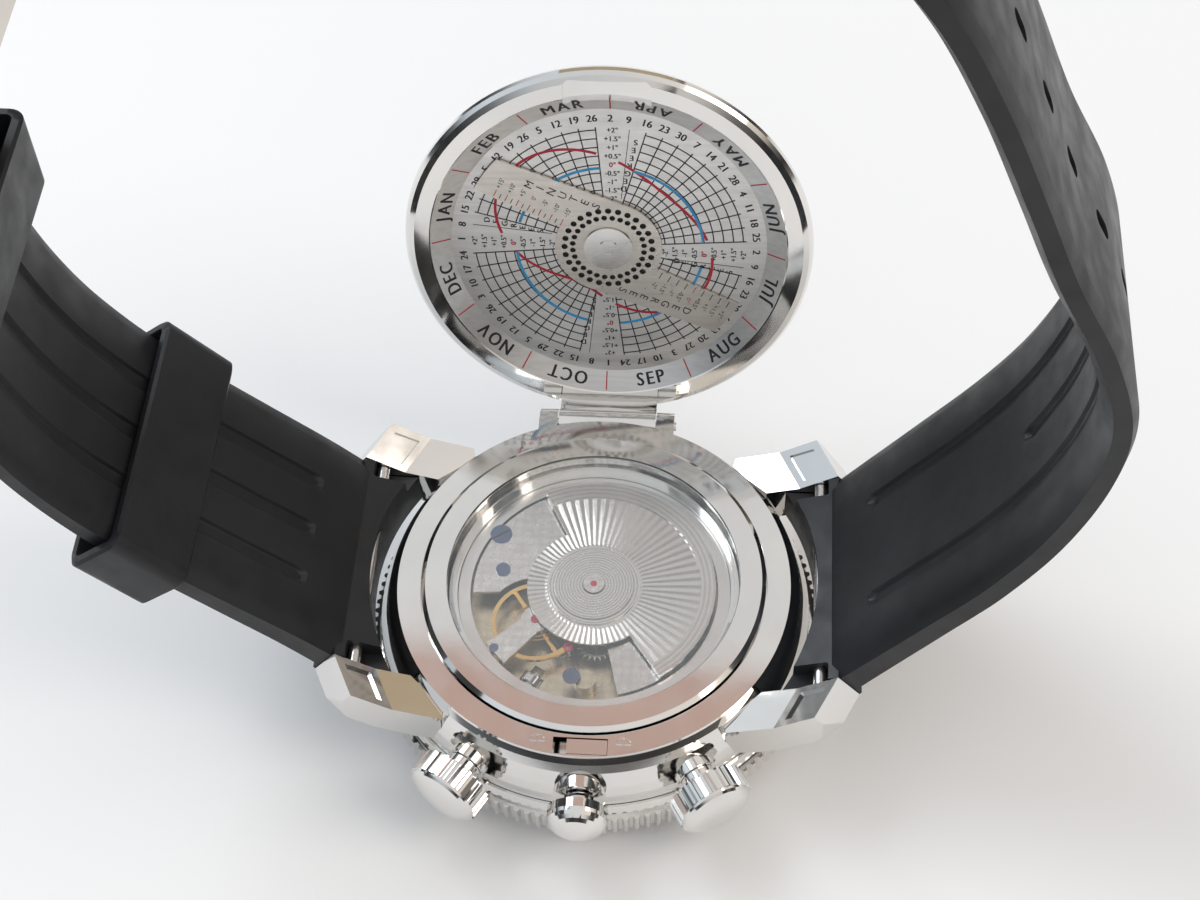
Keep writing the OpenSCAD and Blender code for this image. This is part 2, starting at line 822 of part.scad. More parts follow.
// Outer faces, from the lug to the far end, as [distance from the centre, height].
route_6 = [
  [27.3, 12.6], [30.2, 17.1], [34.6, 23.8], [39.6, 31.6], [43.6, 39.9], [46.1, 49],
  [46.4, 57], [43.8, 65.5], [39.4, 74.3], [35.8, 82.8], [32, 91.5], [27.4, 100], [21.2, 107.5],
  [14, 112.5]
];
route_12 = [
  [27.3, 12.6], [30.8, 16.8], [36.2, 22.6], [42.4, 29.4], [47.6, 36.2], [51.8, 44],
  [54.4, 52.5], [55.1, 61.5], [53.6, 70.5], [49.6, 78.6]
];
curve_6 = curve(route_6);
curve_12 = curve(route_12);

// Fitted end between the lugs, hollowed to follow the case.
end_gap = 0.5;
module strap_end() {
  difference() {
    intersection() {
      translate([17.4, -strap_w / 2, 7.6]) cube([9.9, strap_w, 9]);
      rotate([90, 0, 0]) translate([0, 0, -strap_w / 2]) linear_extrude(height = strap_w)
        polygon([[17.4, 8.2], [25.4, 8.6], [27.3, 12.6], [24.95, 15.35], [17.4, 12.55]]);
    }
    disc(case_r + end_gap, 0, 20);
    for (s = [-1, 1]) translate([21.6, s * (strap_w / 2), 15.2]) {
      translate([-6, s > 0 ? -2 : -0.1, -3]) cube([8.4, 2.1, 6]);
    }
    translate([bar_x, -15, 13.2]) rotate([-90, 0, 0]) cylinder(r = 0.8, h = 30);
  }
}

module strap_body(c) {
  rotate([90, 0, 0]) translate([0, 0, -strap_w / 2]) linear_extrude(height = strap_w)
    polygon(band(c, strap_root_t, strap_tip_t));
}

// Oval holes for the buckle's tongue.
hole_first = 33;
hole_count = 7;
module strap_holes(c) {
  for (k = [0 : hole_count - 1]) {
    i = hole_first + 4 * k;
    d = tangent(c, i);
    translate([c[i][0], 0, c[i][1]]) rotate([0, -atan2(d[1], d[0]), 0])
      translate([0, 0, -2]) cylinder(r = 0.95, h = 8);
  }
}

// Narrows the long half towards its tip.
module taper_6() {
  rotate([90, 0, 90]) linear_extrude(height = 60) polygon([
    [-strap_w / 2, 0], [strap_w / 2, 0], [strap_w / 2, 30], [11, 75], [10.4, 115],
    [-10.4, 115], [-11, 75], [-strap_w / 2, 30]
  ]);
}

module strap_6() {
  color(rubber) difference() {
    union() {
      strap_end();
      intersection() {
        strap_body(curve_6);
        taper_6();
      }
    }
    strap_holes(curve_6);
  }
}

last_12 = curve_12[len(curve_12) - 1];
dir_12 = tangent(curve_12, len(curve_12) - 1);
// Buckle axis, at the middle of the strap's end.
buckle_at = last_12 + 1.1 * dir_12 + 1.4 * [-dir_12[1], dir_12[0]];

module strap_12() {
  color(rubber) mirror([1, 0, 0]) difference() {
    union() {
      strap_end();
      strap_body(curve_12);
      translate([buckle_at[0], strap_w / 2, buckle_at[1]]) rotate([90, 0, 0])
        cylinder(r = 1.6, h = strap_w);
    }
    translate([buckle_at[0], 20, buckle_at[1]]) rotate([90, 0, 0])
      cylinder(r = 0.8, h = 40);
    translate([buckle_at[0] - 6, -1.6, buckle_at[1] - 3]) cube([12, 3.2, 8]);
  }
}

module lug_spring_bars() {
  color("gray") for (s = [-1, 1]) translate([s * bar_x, 0, 13.2]) rotate([90, 0, 0]) {
    translate([0, 0, -lug_in + 0.1]) cylinder(r = 0.75, h = 2 * lug_in - 0.2);
    translate([0, 0, -lug_in - 1]) cylinder(r = 0.45, h = 2 * lug_in + 2);
  }
}

// Rectangular loop round the strap: local x along the strap, z out of its inner face.
// It stands off the outer face by under, and off the inner face by over.
module keeper(c, i, under, over) {
  k = floor(i);
  middle = c[k] + (i - k) * (c[k + 1] - c[k]);
  d = unit(c[k + 1] - c[k]);
  t = strap_root_t + (strap_tip_t - strap_root_t) * min(1, 2 * i / len(c));
  w = strap_w + 2 * keeper_side;
  translate([middle[0], 0, middle[1]]) rotate([0, -atan2(d[1], d[0]), 0])
    translate([-keeper_len / 2, 0, -under]) difference() {
      translate([0, -w / 2 - keeper_wall, -keeper_wall])
        cube([keeper_len, w + 2 * keeper_wall, t + under + over + 2 * keeper_wall]);
      translate([-1, -w / 2, 0]) cube([keeper_len + 2, w, t + under + over]);
    }
}

keeper_len = 8.5;
keeper_wall = 1.1;
keeper_side = 0.45;
module free_keeper() {
  color(rubber) mirror([1, 0, 0]) keeper(curve_12, 15.5, 1.6, 0.45);
}
// The second keeper is bonded to the strap's outer face.
module fixed_keeper() {
  color(rubber) mirror([1, 0, 0]) keeper(curve_12, 34.5, -0.3, 1.9);
}

module buckle_bar() {
  color("gray") mirror([1, 0, 0]) translate([buckle_at[0], 0, buckle_at[1]])
    rotate([90, 0, 0]) {
      translate([0, 0, -12.2]) cylinder(r = 0.75, h = 24.4);
      translate([0, 0, -13.4]) cylinder(r = 0.45, h = 26.8);
    }
}

// The buckle is drawn along local +X from its bar, then turned along the strap.
module buckle_place() {
  mirror([1, 0, 0]) translate([buckle_at[0], 0, buckle_at[1]])
    rotate([0, -atan2(dir_12[1], dir_12[0]), 0]) children();
}

module buckle_frame() {
  color(steel) buckle_place() difference() {
    union() {
      for (s = [-1, 1]) translate([0, s * 13.4 - 1, 0]) {
        translate([0, 0, -1.5]) cube([13, 2, 3]);
        translate([0, 0, 0]) rotate([-90, 0, 0]) cylinder(r = 1.5, h = 2);
      }
      translate([11, -13, -1.5]) cube([2.2, 26, 3]);
    }
    translate([0, -16, 0]) rotate([-90, 0, 0]) cylinder(r = 0.5, h = 32);
  }
}

module buckle_tongue() {
  color(steel) buckle_place() difference() {
    union() {
      translate([0, 1.3, 0]) rotate([90, 0, 0]) cylinder(r = 1.35, h = 2.6);
      translate([0, -0.9, -2.4]) cube([13.4, 1.8, 0.8]);
      translate([0, -0.9, -2.4]) cube([1.2, 1.8, 2]);
    }
    translate([0, -5, 0]) rotate([-90, 0, 0]) cylinder(r = 0.8, h = 10);
  }
}

// ---- assembly ------------------------------------------------------------

case_middle();
lugs();
back_ring();
display_ring();
back_crystal();
back_gasket();
front_crystal();
front_gasket();
chapter_ring();
dial();
dial_indexes();
latch_screws();
case_tubes();
bezel();
hinge_pin();
lid_shell();
month_ring();
grid_disc();
rule_post();
rule();
release_button();
button_spring();
latch_bolt();
upper_crown();
upper_stem();
upper_pinion();
lower_crown();
lower_stem();
lower_pinion();
movement_ring();
main_plate();
barrel_bridge();
automatic_bridge();
balance_cock();
movement_screws();
jewels();
rotor_axle();
rotor_hub();
rotor_plate();
rotor_weight();
barrel();
centre_wheel();
third_wheel();
fourth_wheel();
escape_wheel();
pallet_fork();
balance_wheel();
hour_hand();
zone_hand();
minute_hand();
seconds_hand();
strap_12();
strap_6();
lug_spring_bars();
free_keeper();
fixed_keeper();
buckle_bar();
buckle_frame();
buckle_tongue();
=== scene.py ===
"""Navigator's wristwatch, lying face down with its case-back cover open.

The CAD model comes in as a fixed frame. This script adds the rubber strap, the print
on the cover and the dial, the fluted rotor, the materials, the lights and the camera.
Pieces are drawn in millimetres, and solid_mesh() turns them into metres. The grain of
the materials, the lights, the cards and the camera are given in metres.
"""
import datetime
import json
import math

import bmesh
import bpy
from mathutils import Matrix, Vector


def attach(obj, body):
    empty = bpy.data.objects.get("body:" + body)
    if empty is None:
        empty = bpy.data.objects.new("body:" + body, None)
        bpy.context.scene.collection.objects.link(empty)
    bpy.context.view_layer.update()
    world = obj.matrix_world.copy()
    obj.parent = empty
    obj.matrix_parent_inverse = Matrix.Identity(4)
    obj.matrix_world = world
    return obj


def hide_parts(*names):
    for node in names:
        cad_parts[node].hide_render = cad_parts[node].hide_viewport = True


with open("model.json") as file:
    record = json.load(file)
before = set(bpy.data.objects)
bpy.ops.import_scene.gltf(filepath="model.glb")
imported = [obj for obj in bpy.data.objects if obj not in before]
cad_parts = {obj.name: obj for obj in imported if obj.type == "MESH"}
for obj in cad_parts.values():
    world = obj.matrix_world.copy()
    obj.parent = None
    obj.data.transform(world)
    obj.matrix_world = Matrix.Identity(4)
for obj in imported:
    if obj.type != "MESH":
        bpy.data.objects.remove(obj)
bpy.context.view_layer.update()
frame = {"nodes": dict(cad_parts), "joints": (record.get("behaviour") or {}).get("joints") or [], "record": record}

MM = 0.001
scene = bpy.context.scene


# ---- meshes ---------------------------------------------------------------

def solid_mesh(name, verts, faces, place):
    """A mesh from points in millimetres in a local frame, with its faces turned outward."""
    mesh = bpy.data.meshes.new(name)
    mesh.from_pydata([place @ Vector(v) * MM for v in verts], [], faces)
    work = bmesh.new()
    work.from_mesh(mesh)
    bmesh.ops.recalc_face_normals(work, faces=work.faces)
    work.to_mesh(mesh)
    work.free()
    return mesh


def piece(name, verts, faces, material, body, replaced=(), place=Matrix.Identity(4)):
    """Makes a visible piece and hangs it on a body."""
    mesh = solid_mesh(name, verts, faces, place)
    mesh.materials.append(material)
    thing = bpy.data.objects.new(name, mesh)
    scene.collection.objects.link(thing)
    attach(thing, body)
    if replaced:
        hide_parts(*replaced)
    return thing


def smooth(thing, angle):
    """Shades rounded stretches smooth and keeps sharp edges sharp."""
    thing.data.polygons.foreach_set("use_smooth", [True] * len(thing.data.polygons))
    thing.data.set_sharp_from_angle(angle=math.radians(angle))


def apply_modifiers(thing):
    """Puts the result of a piece's modifiers into its mesh."""
    graph = bpy.context.evaluated_depsgraph_get()
    done = bpy.data.meshes.new_from_object(thing.evaluated_get(graph))
    thing.modifiers.clear()
    thing.data = done


def cut(thing, cutters, operation="DIFFERENCE"):
    """Cuts throwaway solids from a piece, or joins them to it."""
    for cutter in cutters:
        step = thing.modifiers.new("cut", "BOOLEAN")
        step.operation = operation
        step.solver = "EXACT"
        step.object = cutter
    apply_modifiers(thing)
    for cutter in cutters:
        bpy.data.objects.remove(cutter)


def prism(outline, low, high, place):
    """A throwaway solid: an outline in local x, y between two local heights."""
    n = len(outline)
    verts = [(x, y, z) for z in (low, high) for x, y in outline]
    faces = [tuple(range(n))[::-1], tuple(range(n, 2 * n))]
    faces += [(i, (i + 1) % n, n + (i + 1) % n, n + i) for i in range(n)]
    tool = bpy.data.objects.new("tool", solid_mesh("tool", verts, faces, place))
    scene.collection.objects.link(tool)
    tool.hide_render = True
    return tool


def polar(r, degrees):
    """A point at a radius and an angle."""
    return r * math.cos(math.radians(degrees)), r * math.sin(math.radians(degrees))


def round_outline(r, count):
    """Outline of a circle."""
    return [polar(r, 360 / count * i) for i in range(count)]


def rounded_box(half_x, half_y, r, steps):
    """Outline of a rectangle with rounded corners, each of so many steps."""
    corners = ((1, 1, 0), (-1, 1, 90), (-1, -1, 180), (1, -1, 270))
    outline = []
    for sx, sy, start in corners:
        for i in range(steps + 1):
            x, y = polar(r, start + 90 * i / steps)
            outline.append((sx * (half_x - r) + x, sy * (half_y - r) + y))
    return outline


# ---- materials ------------------------------------------------------------

class Shader:
    """A Principled material with short ways to drive its colour, roughness and bump."""

    def __init__(self, name, colour, metallic, roughness):
        self.material = bpy.data.materials.new(name)
        self.material.use_nodes = True
        self.nodes = self.material.node_tree.nodes
        self.links = self.material.node_tree.links
        self.bsdf = self.nodes["Principled BSDF"]
        self.bsdf.inputs["Base Color"].default_value = (*colour, 1)
        self.bsdf.inputs["Metallic"].default_value = metallic
        self.bsdf.inputs["Roughness"].default_value = roughness
        self.places = self.nodes.new("ShaderNodeTexCoord").outputs["Object"]

    def node(self, kind, **settings):
        """Adds a node with its settings."""
        made = self.nodes.new(kind)
        for key, value in settings.items():
            setattr(made, key, value)
        return made

    def noise(self, scale, detail, stretch=(1, 1, 1)):
        """Noise whose grain is 1 / scale metres, longer where stretch is below 1."""
        mapping = self.node("ShaderNodeMapping")
        mapping.inputs["Scale"].default_value = stretch
        self.links.new(self.places, mapping.inputs["Vector"])
        noise = self.node("ShaderNodeTexNoise")
        noise.inputs["Scale"].default_value = scale
        noise.inputs["Detail"].default_value = detail
        self.links.new(mapping.outputs["Vector"], noise.inputs["Vector"])
        return noise.outputs["Fac"]

    def roughness(self, value, low, high):
        """Drives the roughness from low to high over the middle of the value's range."""
        ranged = self.node("ShaderNodeMapRange")
        ends = {"From Min": 0.3, "From Max": 0.7, "To Min": low, "To Max": high}
        for key, number in ends.items():
            ranged.inputs[key].default_value = number
        self.links.new(value, ranged.inputs["Value"])
        self.links.new(ranged.outputs["Result"], self.bsdf.inputs["Roughness"])
        return self

    def colour(self, value, low, high, start=0.35, end=0.65):
        """Drives the colour from low to high as the value goes from start to end."""
        ramp = self.node("ShaderNodeValToRGB")
        ramp.color_ramp.elements[0].position = start
        ramp.color_ramp.elements[1].position = end
        ramp.color_ramp.elements[0].color = (*low, 1)
        ramp.color_ramp.elements[1].color = (*high, 1)
        self.links.new(value, ramp.inputs["Fac"])
        self.links.new(ramp.outputs["Color"], self.bsdf.inputs["Base Color"])
        return self

    def bump(self, value, strength, distance):
        """Relief of a given depth in metres."""
        bump = self.node("ShaderNodeBump")
        bump.inputs["Strength"].default_value = strength
        bump.inputs["Distance"].default_value = distance
        self.links.new(value, bump.inputs["Height"])
        self.links.new(bump.outputs["Normal"], self.bsdf.inputs["Normal"])
        return self


# Depths of relief, in metres.
HAIRLINE = 0.00001
TOOL_MARK = 0.00002
RUBBER_GRAIN = 0.00003

MIRROR, SHADED_MIRROR = (0.83, 0.815, 0.79), (0.76, 0.75, 0.735)
FINE_RINGS = 0.00016


def polished_steel(name, light=MIRROR, dark=SHADED_MIRROR, rough=(0.045, 0.11)):
    """Mirror steel with faint smears and hairline scratches."""
    shader = Shader(name, light, 1.0, rough[0])
    shader.colour(shader.noise(90, 4), dark, light)
    shader.roughness(shader.noise(260, 5), *rough)
    scratches = shader.noise(1500, 2, stretch=(1, 1, 0.15))
    return shader.bump(scratches, 0.05, HAIRLINE).material


def brushed(name, light, dark, rough):
    """Metal with a straight grain along local x."""
    shader = Shader(name, light, 1.0, rough[0])
    grain = shader.noise(2200, 3, stretch=(0.03, 1, 1))
    shader.colour(grain, dark, light)
    shader.roughness(shader.noise(700, 4), *rough)
    return shader.bump(grain, 0.12, TOOL_MARK).material


def ringed(name, light, dark, rough, pitch=FINE_RINGS):
    """Metal turned on a lathe: fine circles about the movement's axis."""
    pitch_at_scale_1 = 0.314
    shader = Shader(name, light, 1.0, rough[0])
    wave = shader.node("ShaderNodeTexWave", wave_type="RINGS", rings_direction="Z")
    wave.inputs["Scale"].default_value = pitch_at_scale_1 / pitch
    wave.inputs["Distortion"].default_value = 0.6
    shader.links.new(shader.places, wave.inputs["Vector"])
    shader.colour(wave.outputs["Fac"], dark, light, 0.1, 0.9)
    shader.roughness(shader.noise(900, 4), *rough)
    return shader.bump(wave.outputs["Fac"], 0.12, TOOL_MARK).material


def pearled(name, light, dark, rough):
    """Plate metal with overlapping pearled spots about 1 mm across."""
    spots_per_metre = 1050
    ripples = 26
    shader = Shader(name, light, 1.0, rough[0])
    spots = shader.node("ShaderNodeTexVoronoi", feature="F1")
    spots.inputs["Scale"].default_value = spots_per_metre
    spots.inputs["Randomness"].default_value = 0.25
    shader.links.new(shader.places, spots.inputs["Vector"])
    rings = shader.node("ShaderNodeMath", operation="SINE")
    turns = shader.node("ShaderNodeMath", operation="MULTIPLY")
    turns.inputs[1].default_value = ripples
    shader.links.new(spots.outputs["Distance"], turns.inputs[0])
    shader.links.new(turns.outputs["Value"], rings.inputs[0])
    shader.colour(spots.outputs["Distance"], light, dark, 0.15, 0.75)
    shader.roughness(shader.noise(900, 3), *rough)
    return shader.bump(rings.outputs["Value"], 0.1, TOOL_MARK).material


def rubber_material():
    """Matt moulded rubber: near black, faintly dusty, with a very fine grain."""
    shader = Shader("rubber", (0.012, 0.0125, 0.0145), 0.0, 0.42)
    shader.bsdf.inputs["Specular IOR Level"].default_value = 0.42
    shader.colour(shader.noise(40, 5), (0.0075, 0.008, 0.0095), (0.017, 0.0185, 0.022))
    shader.roughness(shader.noise(350, 5), 0.36, 0.52)
    return shader.bump(shader.noise(9000, 2), 0.12, RUBBER_GRAIN).material


def clear_glass(name, tint, alpha):
    """Anti-reflective sapphire: a nearly clear skin that keeps its gloss."""
    shader = Shader(name, tint, 0.0, 0.03)
    shader.bsdf.inputs["Alpha"].default_value = alpha
    shader.bsdf.inputs["IOR"].default_value = 1.6
    shader.roughness(shader.noise(120, 3), 0.02, 0.06)
    return shader.material


def painted(name, light, dark, rough=0.45):
    """Printed or lacquered colour, a little uneven."""
    shader = Shader(name, light, 0.0, rough)
    shader.colour(shader.noise(1500, 4), dark, light)
    shader.roughness(shader.noise(900, 3), rough - 0.08, rough + 0.08)
    return shader.bump(shader.noise(4000, 2), 0.05, HAIRLINE).material


# One finish for each material slot. A metal has a light and a dark shade, and runs from
# one roughness to another.
FINISHES = {
    "polished_steel": polished_steel("polished_steel"),
    "spring_steel": polished_steel(
        "spring_steel", (0.62, 0.61, 0.6), (0.5, 0.49, 0.48), (0.15, 0.3)),
    "sapphire": clear_glass("sapphire", (0.8, 0.84, 0.86), 0.1),
    "seal": painted("seal", (0.02, 0.02, 0.02), (0.01, 0.01, 0.01)),
    "white_seal": painted("white_seal", (0.82, 0.82, 0.8), (0.75, 0.75, 0.72)),
    "white_dial": painted("white_dial", (0.86, 0.86, 0.84), (0.8, 0.8, 0.78), 0.35),
    "satin_silver": brushed(
        "satin_silver", (0.8, 0.79, 0.775), (0.72, 0.71, 0.7), (0.3, 0.38)),
    "rule_finish": brushed(
        "rule_finish", (0.71, 0.67, 0.62), (0.62, 0.585, 0.54), (0.26, 0.34)),
    "post_steel": polished_steel(
        "post_steel", (0.84, 0.83, 0.82), (0.74, 0.73, 0.72), (0.1, 0.2)),
    "brass_plate": pearled(
        "brass_plate", (0.62, 0.53, 0.38), (0.48, 0.41, 0.3), (0.25, 0.36)),
    "gold": polished_steel(
        "gold", (0.86, 0.6, 0.24), (0.72, 0.47, 0.16), (0.12, 0.22)),
    "rhodium": pearled(
        "rhodium", (0.72, 0.7, 0.67), (0.58, 0.56, 0.54), (0.2, 0.3)),
    "blued_steel": polished_steel(
        "blued_steel", (0.17, 0.22, 0.34), (0.09, 0.12, 0.22), (0.12, 0.22)),
    "red_paint": painted("red_paint", (0.62, 0.02, 0.03), (0.5, 0.015, 0.02)),
    "ruby": painted("ruby", (0.6, 0.01, 0.06), (0.42, 0.005, 0.04), 0.15),
    "rubber": rubber_material(),
}
ROTOR_SHINE = ringed(
    "rotor_shine", (0.7, 0.675, 0.64), (0.6, 0.575, 0.545), (0.17, 0.25))
# Nodes that look different from the rest of their slot.
SPECIAL = {
    "rotor_hub": ringed(
        "hub_shine", (0.66, 0.645, 0.62), (0.5, 0.49, 0.47), (0.2, 0.28), 0.0003),
    "rotor_weight": ringed(
        "weight_shine", (0.66, 0.635, 0.6), (0.56, 0.535, 0.51), (0.14, 0.22), 0.0005),
    "movement_ring": polished_steel(
        "ring_steel", (0.78, 0.765, 0.74), (0.68, 0.665, 0.64), (0.14, 0.24)),
    "bezel": polished_steel("bezel_steel", rough=(0.06, 0.13)),
}


def dress_cad():
    """Gives every CAD node the material of its slot."""
    slots = {row["node"]: row["material_slot"] for row in frame["record"]["subparts"]}
    for name, thing in frame["nodes"].items():
        thing.data.materials.clear()
        thing.data.materials.append(SPECIAL.get(name, FINISHES[slots[name]]))


# ---- ink and lettering ----------------------------------------------------

# Thickness of the ink.
INK_T = 0.014
# Height of a capital in the built-in font, whose size is 1.
CAP_HEIGHT = 0.69
# Bold letters are struck twice, this far to either side, in cap heights.
BOLD_STRIKE = 0.045
# Strings already made, by text and weight.
GLYPHS = {}


def glyphs(text, bold):
    """A string as a flat solid one cap height tall, centred, with its width."""
    if (text, bold) not in GLYPHS:
        curve = bpy.data.curves.new("letters", "FONT")
        curve.body = text
        curve.align_x = "CENTER"
        curve.resolution_u = 3
        curve.extrude = 0.5
        thing = bpy.data.objects.new("letters", curve)
        scene.collection.objects.link(thing)
        bpy.context.view_layer.update()
        mesh = bpy.data.meshes.new_from_object(thing)
        verts, faces = [], []
        for shift in (-BOLD_STRIKE, BOLD_STRIKE) if bold else (0,):
            start = len(verts)
            verts += [(v.co.x / CAP_HEIGHT + shift, v.co.y / CAP_HEIGHT - 0.5, v.co.z + 0.5)
                      for v in mesh.vertices]
            faces += [tuple(start + i for i in f.vertices) for f in mesh.polygons]
        width = max(v[0] for v in verts) - min(v[0] for v in verts)
        GLYPHS[text, bold] = verts, faces, width
        bpy.data.objects.remove(thing)
        bpy.data.meshes.remove(mesh)
    return GLYPHS[text, bold]


class Ink:
    """Collects thin raised strokes and letters that become one piece."""

    def __init__(self, thickness=INK_T, lift=lambda x, y: 0.0):
        self.verts, self.faces = [], []
        self.thickness, self.lift = thickness, lift

    def add(self, verts, faces):
        """Adds a flat solid whose heights run from 0 to 1."""
        start = len(self.verts)
        self.verts += [(x, y, z * self.thickness + self.lift(x, y)) for x, y, z in verts]
        self.faces += [tuple(start + i for i in face) for face in faces]

    def stroke(self, points, width):
        """A flat line of even width through the points."""
        sides = []
        last = len(points) - 1
        for i, (x, y) in enumerate(points):
            (xa, ya), (xb, yb) = points[max(i - 1, 0)], points[min(i + 1, last)]
            size = math.hypot(xb - xa, yb - ya)
            nx, ny = (ya - yb) / size * width / 2, (xb - xa) / size * width / 2
            sides.append(((x - nx, y - ny), (x + nx, y + ny)))
        verts = [(x, y, z) for pair in sides for x, y in pair for z in (0, 1)]
        faces = [(1, 0, 2, 3), (4 * last + 2, 4 * last, 4 * last + 1, 4 * last + 3)]
        for i in range(last):
            a, b = 4 * i, 4 * i + 4
            faces += [(a, b, b + 2, a + 2), (a + 1, a + 3, b + 3, b + 1)]
            faces += [(a, a + 1, b + 1, b), (a + 2, b + 2, b + 3, a + 3)]
        self.add(verts, faces)

    def arc(self, r, start, end, width):
        """A line along an arc, in steps of 3 degrees."""
        n = max(2, int(abs(end - start) / 3))
        self.stroke([polar(r, start + (end - start) * i / n) for i in range(n + 1)], width)

    def letters(self, text, x, y, height, turn=0.0, bold=False):
        """Text centred on a point, turned anticlockwise."""
        verts, faces, _ = glyphs(text, bold)
        c, s = math.cos(math.radians(turn)), math.sin(math.radians(turn))
        placed = [(x + height * (u * c - v * s), y + height * (u * s + v * c), w)
                  for u, v, w in verts]
        self.add(placed, faces)

    def word_on_arc(self, word, r, middle, height, outward):
        """A bold word bent round the centre, with its tops outward or inward."""
        gap = 0.22
        sense = -1 if outward else 1
        widths = [glyphs(letter, True)[2] * height for letter in word]
        total = sum(widths) + gap * height * (len(word) - 1)
        along = -total / 2
        for letter, width in zip(word, widths):
            place = along + width / 2
            angle = middle + sense * math.degrees(place / r)
            turn = angle - 90 if outward else angle + 90
            self.letters(letter, *polar(r, angle), height, turn, bold=True)
            along += width + gap * height

    def piece(self, name, material, body, slot, place):
        """Turns all the ink so far into one piece."""
        piece(name, self.verts, self.faces, material, body, place=place)


BLACK_INK = painted("black_ink", (0.02, 0.02, 0.024), (0.012, 0.012, 0.014))
RED_INK = painted("red_ink", (0.56, 0.02, 0.05), (0.45, 0.015, 0.035))
BLUE_INK = painted("blue_ink", (0.05, 0.36, 0.68), (0.035, 0.29, 0.58))


# ---- cover ----------------------------------------------------------------

joints = {joint["name"]: joint for joint in frame["joints"]}
hinge = Vector(joints["cover_hinge"]["pos_m"]) / MM
open_angle = math.radians(joints["cover_hinge"]["range_deg"][1])
swing = Matrix.Rotation(-open_angle, 4, "X")
opened = Matrix.Translation(hinge) @ swing @ Matrix.Translation(-hinge)

# Printed faces of the disc and the rule while the cover is shut.
DISC_Z = 13.55
RULE_Z = 13.19
# The disc is flat out to GRID_R. From there the month ring slopes up to RECESS_R.
GRID_R = 16.5
RECESS_R = 18.62
CONE_RISE = 1.15


def face_frame(z):
    """Frame on the cover: x right, y up as it stands open, z towards the reader."""
    return opened @ Matrix.Translation((0, 0, z)) @ Matrix.Diagonal((1, -1, -1, 1))


def cone_lift(x, y):
    """Height of the month ring's slope above the printed disc."""
    return max(0.0, math.hypot(x, y) - GRID_R) * CONE_RISE / (RECESS_R - GRID_R)


# The year runs clockwise: 2 April, day 92, stands near the top.
APRIL_2 = 92
TOP_ANGLE = 89.1
YEAR = 365
MONTH_TURN = 30
# Angles of the four columns of labels, how far from them the red curve stops, and from
# where to where the grid and the blue curve run.
AXES = (90, 180, -90, 0)
LABEL_REACH = 5.5
QUADRANTS = ((165, 95), (74.5, 4.5), (-13, -83.5), (-103, -174))
# The circle of zero degrees, and the distance to the next circle.
SCALE_R = 10.0
SCALE_STEP = 1.02
SPOKE_R = (5.35, 14.4)
SPOKE_COUNT = 10
# Radius and width of the black ring of painted shade under the rule's hub, which darkens the hub's holes.
HUB_SHADE_R, HUB_SHADE_WIDTH = 4.15, 1.9
GRID_LINE = 0.13
CURVE_LINE = 0.29
MARK_LINE = 0.14
LABEL_LINE = 0.07
# Both curves: the circle they leave and how far they swing from it.
TIME_CURVE_R = 9.75
TILT_CURVE_R = 9.8
CURVE_SWING = 0.25
# The line beside each column, as distance across it and from the centre.
COLUMN_LINE = ((2.17, 14.16), (1.33, 5.89))
# The word DEGREES beside each column.
WORD_TURN = -12.5
WORD_R_OUT, WORD_R_IN = 13.0, 7.3
WORD_STEP = 0.95
# The calendar's rings: months, marks between them, and a date for each week.
MONTH_R = 17.5
MONTH_MARK_R = (16.6, 18.45)
DATE_R = 15.45
# Cap heights.
LABEL_H, WORD_H, DATE_H, MONTH_H = 0.55, 0.62, 0.78, 1.25
LABELS = [f"{value}\N{DEGREE SIGN}" for value in
          ("+2", "+1.5", "+1", "+0.5", "0", "-0.5", "-1", "-1.5", "-2")]
MONTHS = ("JAN", "FEB", "MAR", "APR", "MAY", "JUN", "JUL", "AUG", "SEP", "OCT", "NOV", "DEC")


def year_angle(day):
    """Angle on the disc of a day of the year."""
    return TOP_ANGLE - (day - APRIL_2) * 360 / YEAR


def equation_of_time(day):
    """Minutes that sundial time is ahead of mean time."""
    b = math.radians(360 * (day - 81) / YEAR)
    return 9.87 * math.sin(2 * b) - 7.53 * math.cos(b) - 1.5 * math.sin(b)


def apart(a, b):
    """How far two directions are apart, in degrees."""
    return abs((a - b + 180) % 360 - 180)


def near_label(angle):
    """True close to a column of labels."""
    return any(apart(angle, axis) < LABEL_REACH for axis in AXES)


def in_quadrant(angle):
    """True where the grid is."""
    return any(apart(angle, (a + b) / 2) < (a - b) / 2 for a, b in QUADRANTS)


def tilt_radius(day):
    """Radius of the blue curve."""
    return TILT_CURVE_R + CURVE_SWING * math.cos(math.radians(year_angle(day) + 60))


def time_radius(day):
    """Radius of the red curve, the equation of time."""
    return TIME_CURVE_R - CURVE_SWING * equation_of_time(day)


def curve_runs(radius, wanted):
    """Splits a curve round the disc into runs of points where it is wanted."""
    run, runs = [], []
    for day in range(YEAR + 1):
        angle = year_angle(day)
        if wanted(angle):
            run.append(polar(radius(day), angle))
        elif run:
            runs.append(run)
            run = []
    runs.append(run)
    return [points for points in runs if len(points) > 2]


def radial(ink, radii, angle, width):
    """A line between two radii."""
    ink.stroke([polar(r, angle) for r in radii], width)


def print_grid(ink):
    """Circles and spokes between the columns of labels."""
    for start, end in QUADRANTS:
        for k in range(-4, 5):
            ink.arc(SCALE_R + SCALE_STEP * k, start, end, GRID_LINE)
        for i in range(SPOKE_COUNT + 1):
            radial(ink, SPOKE_R, start + (end - start) * i / SPOKE_COUNT, GRID_LINE)


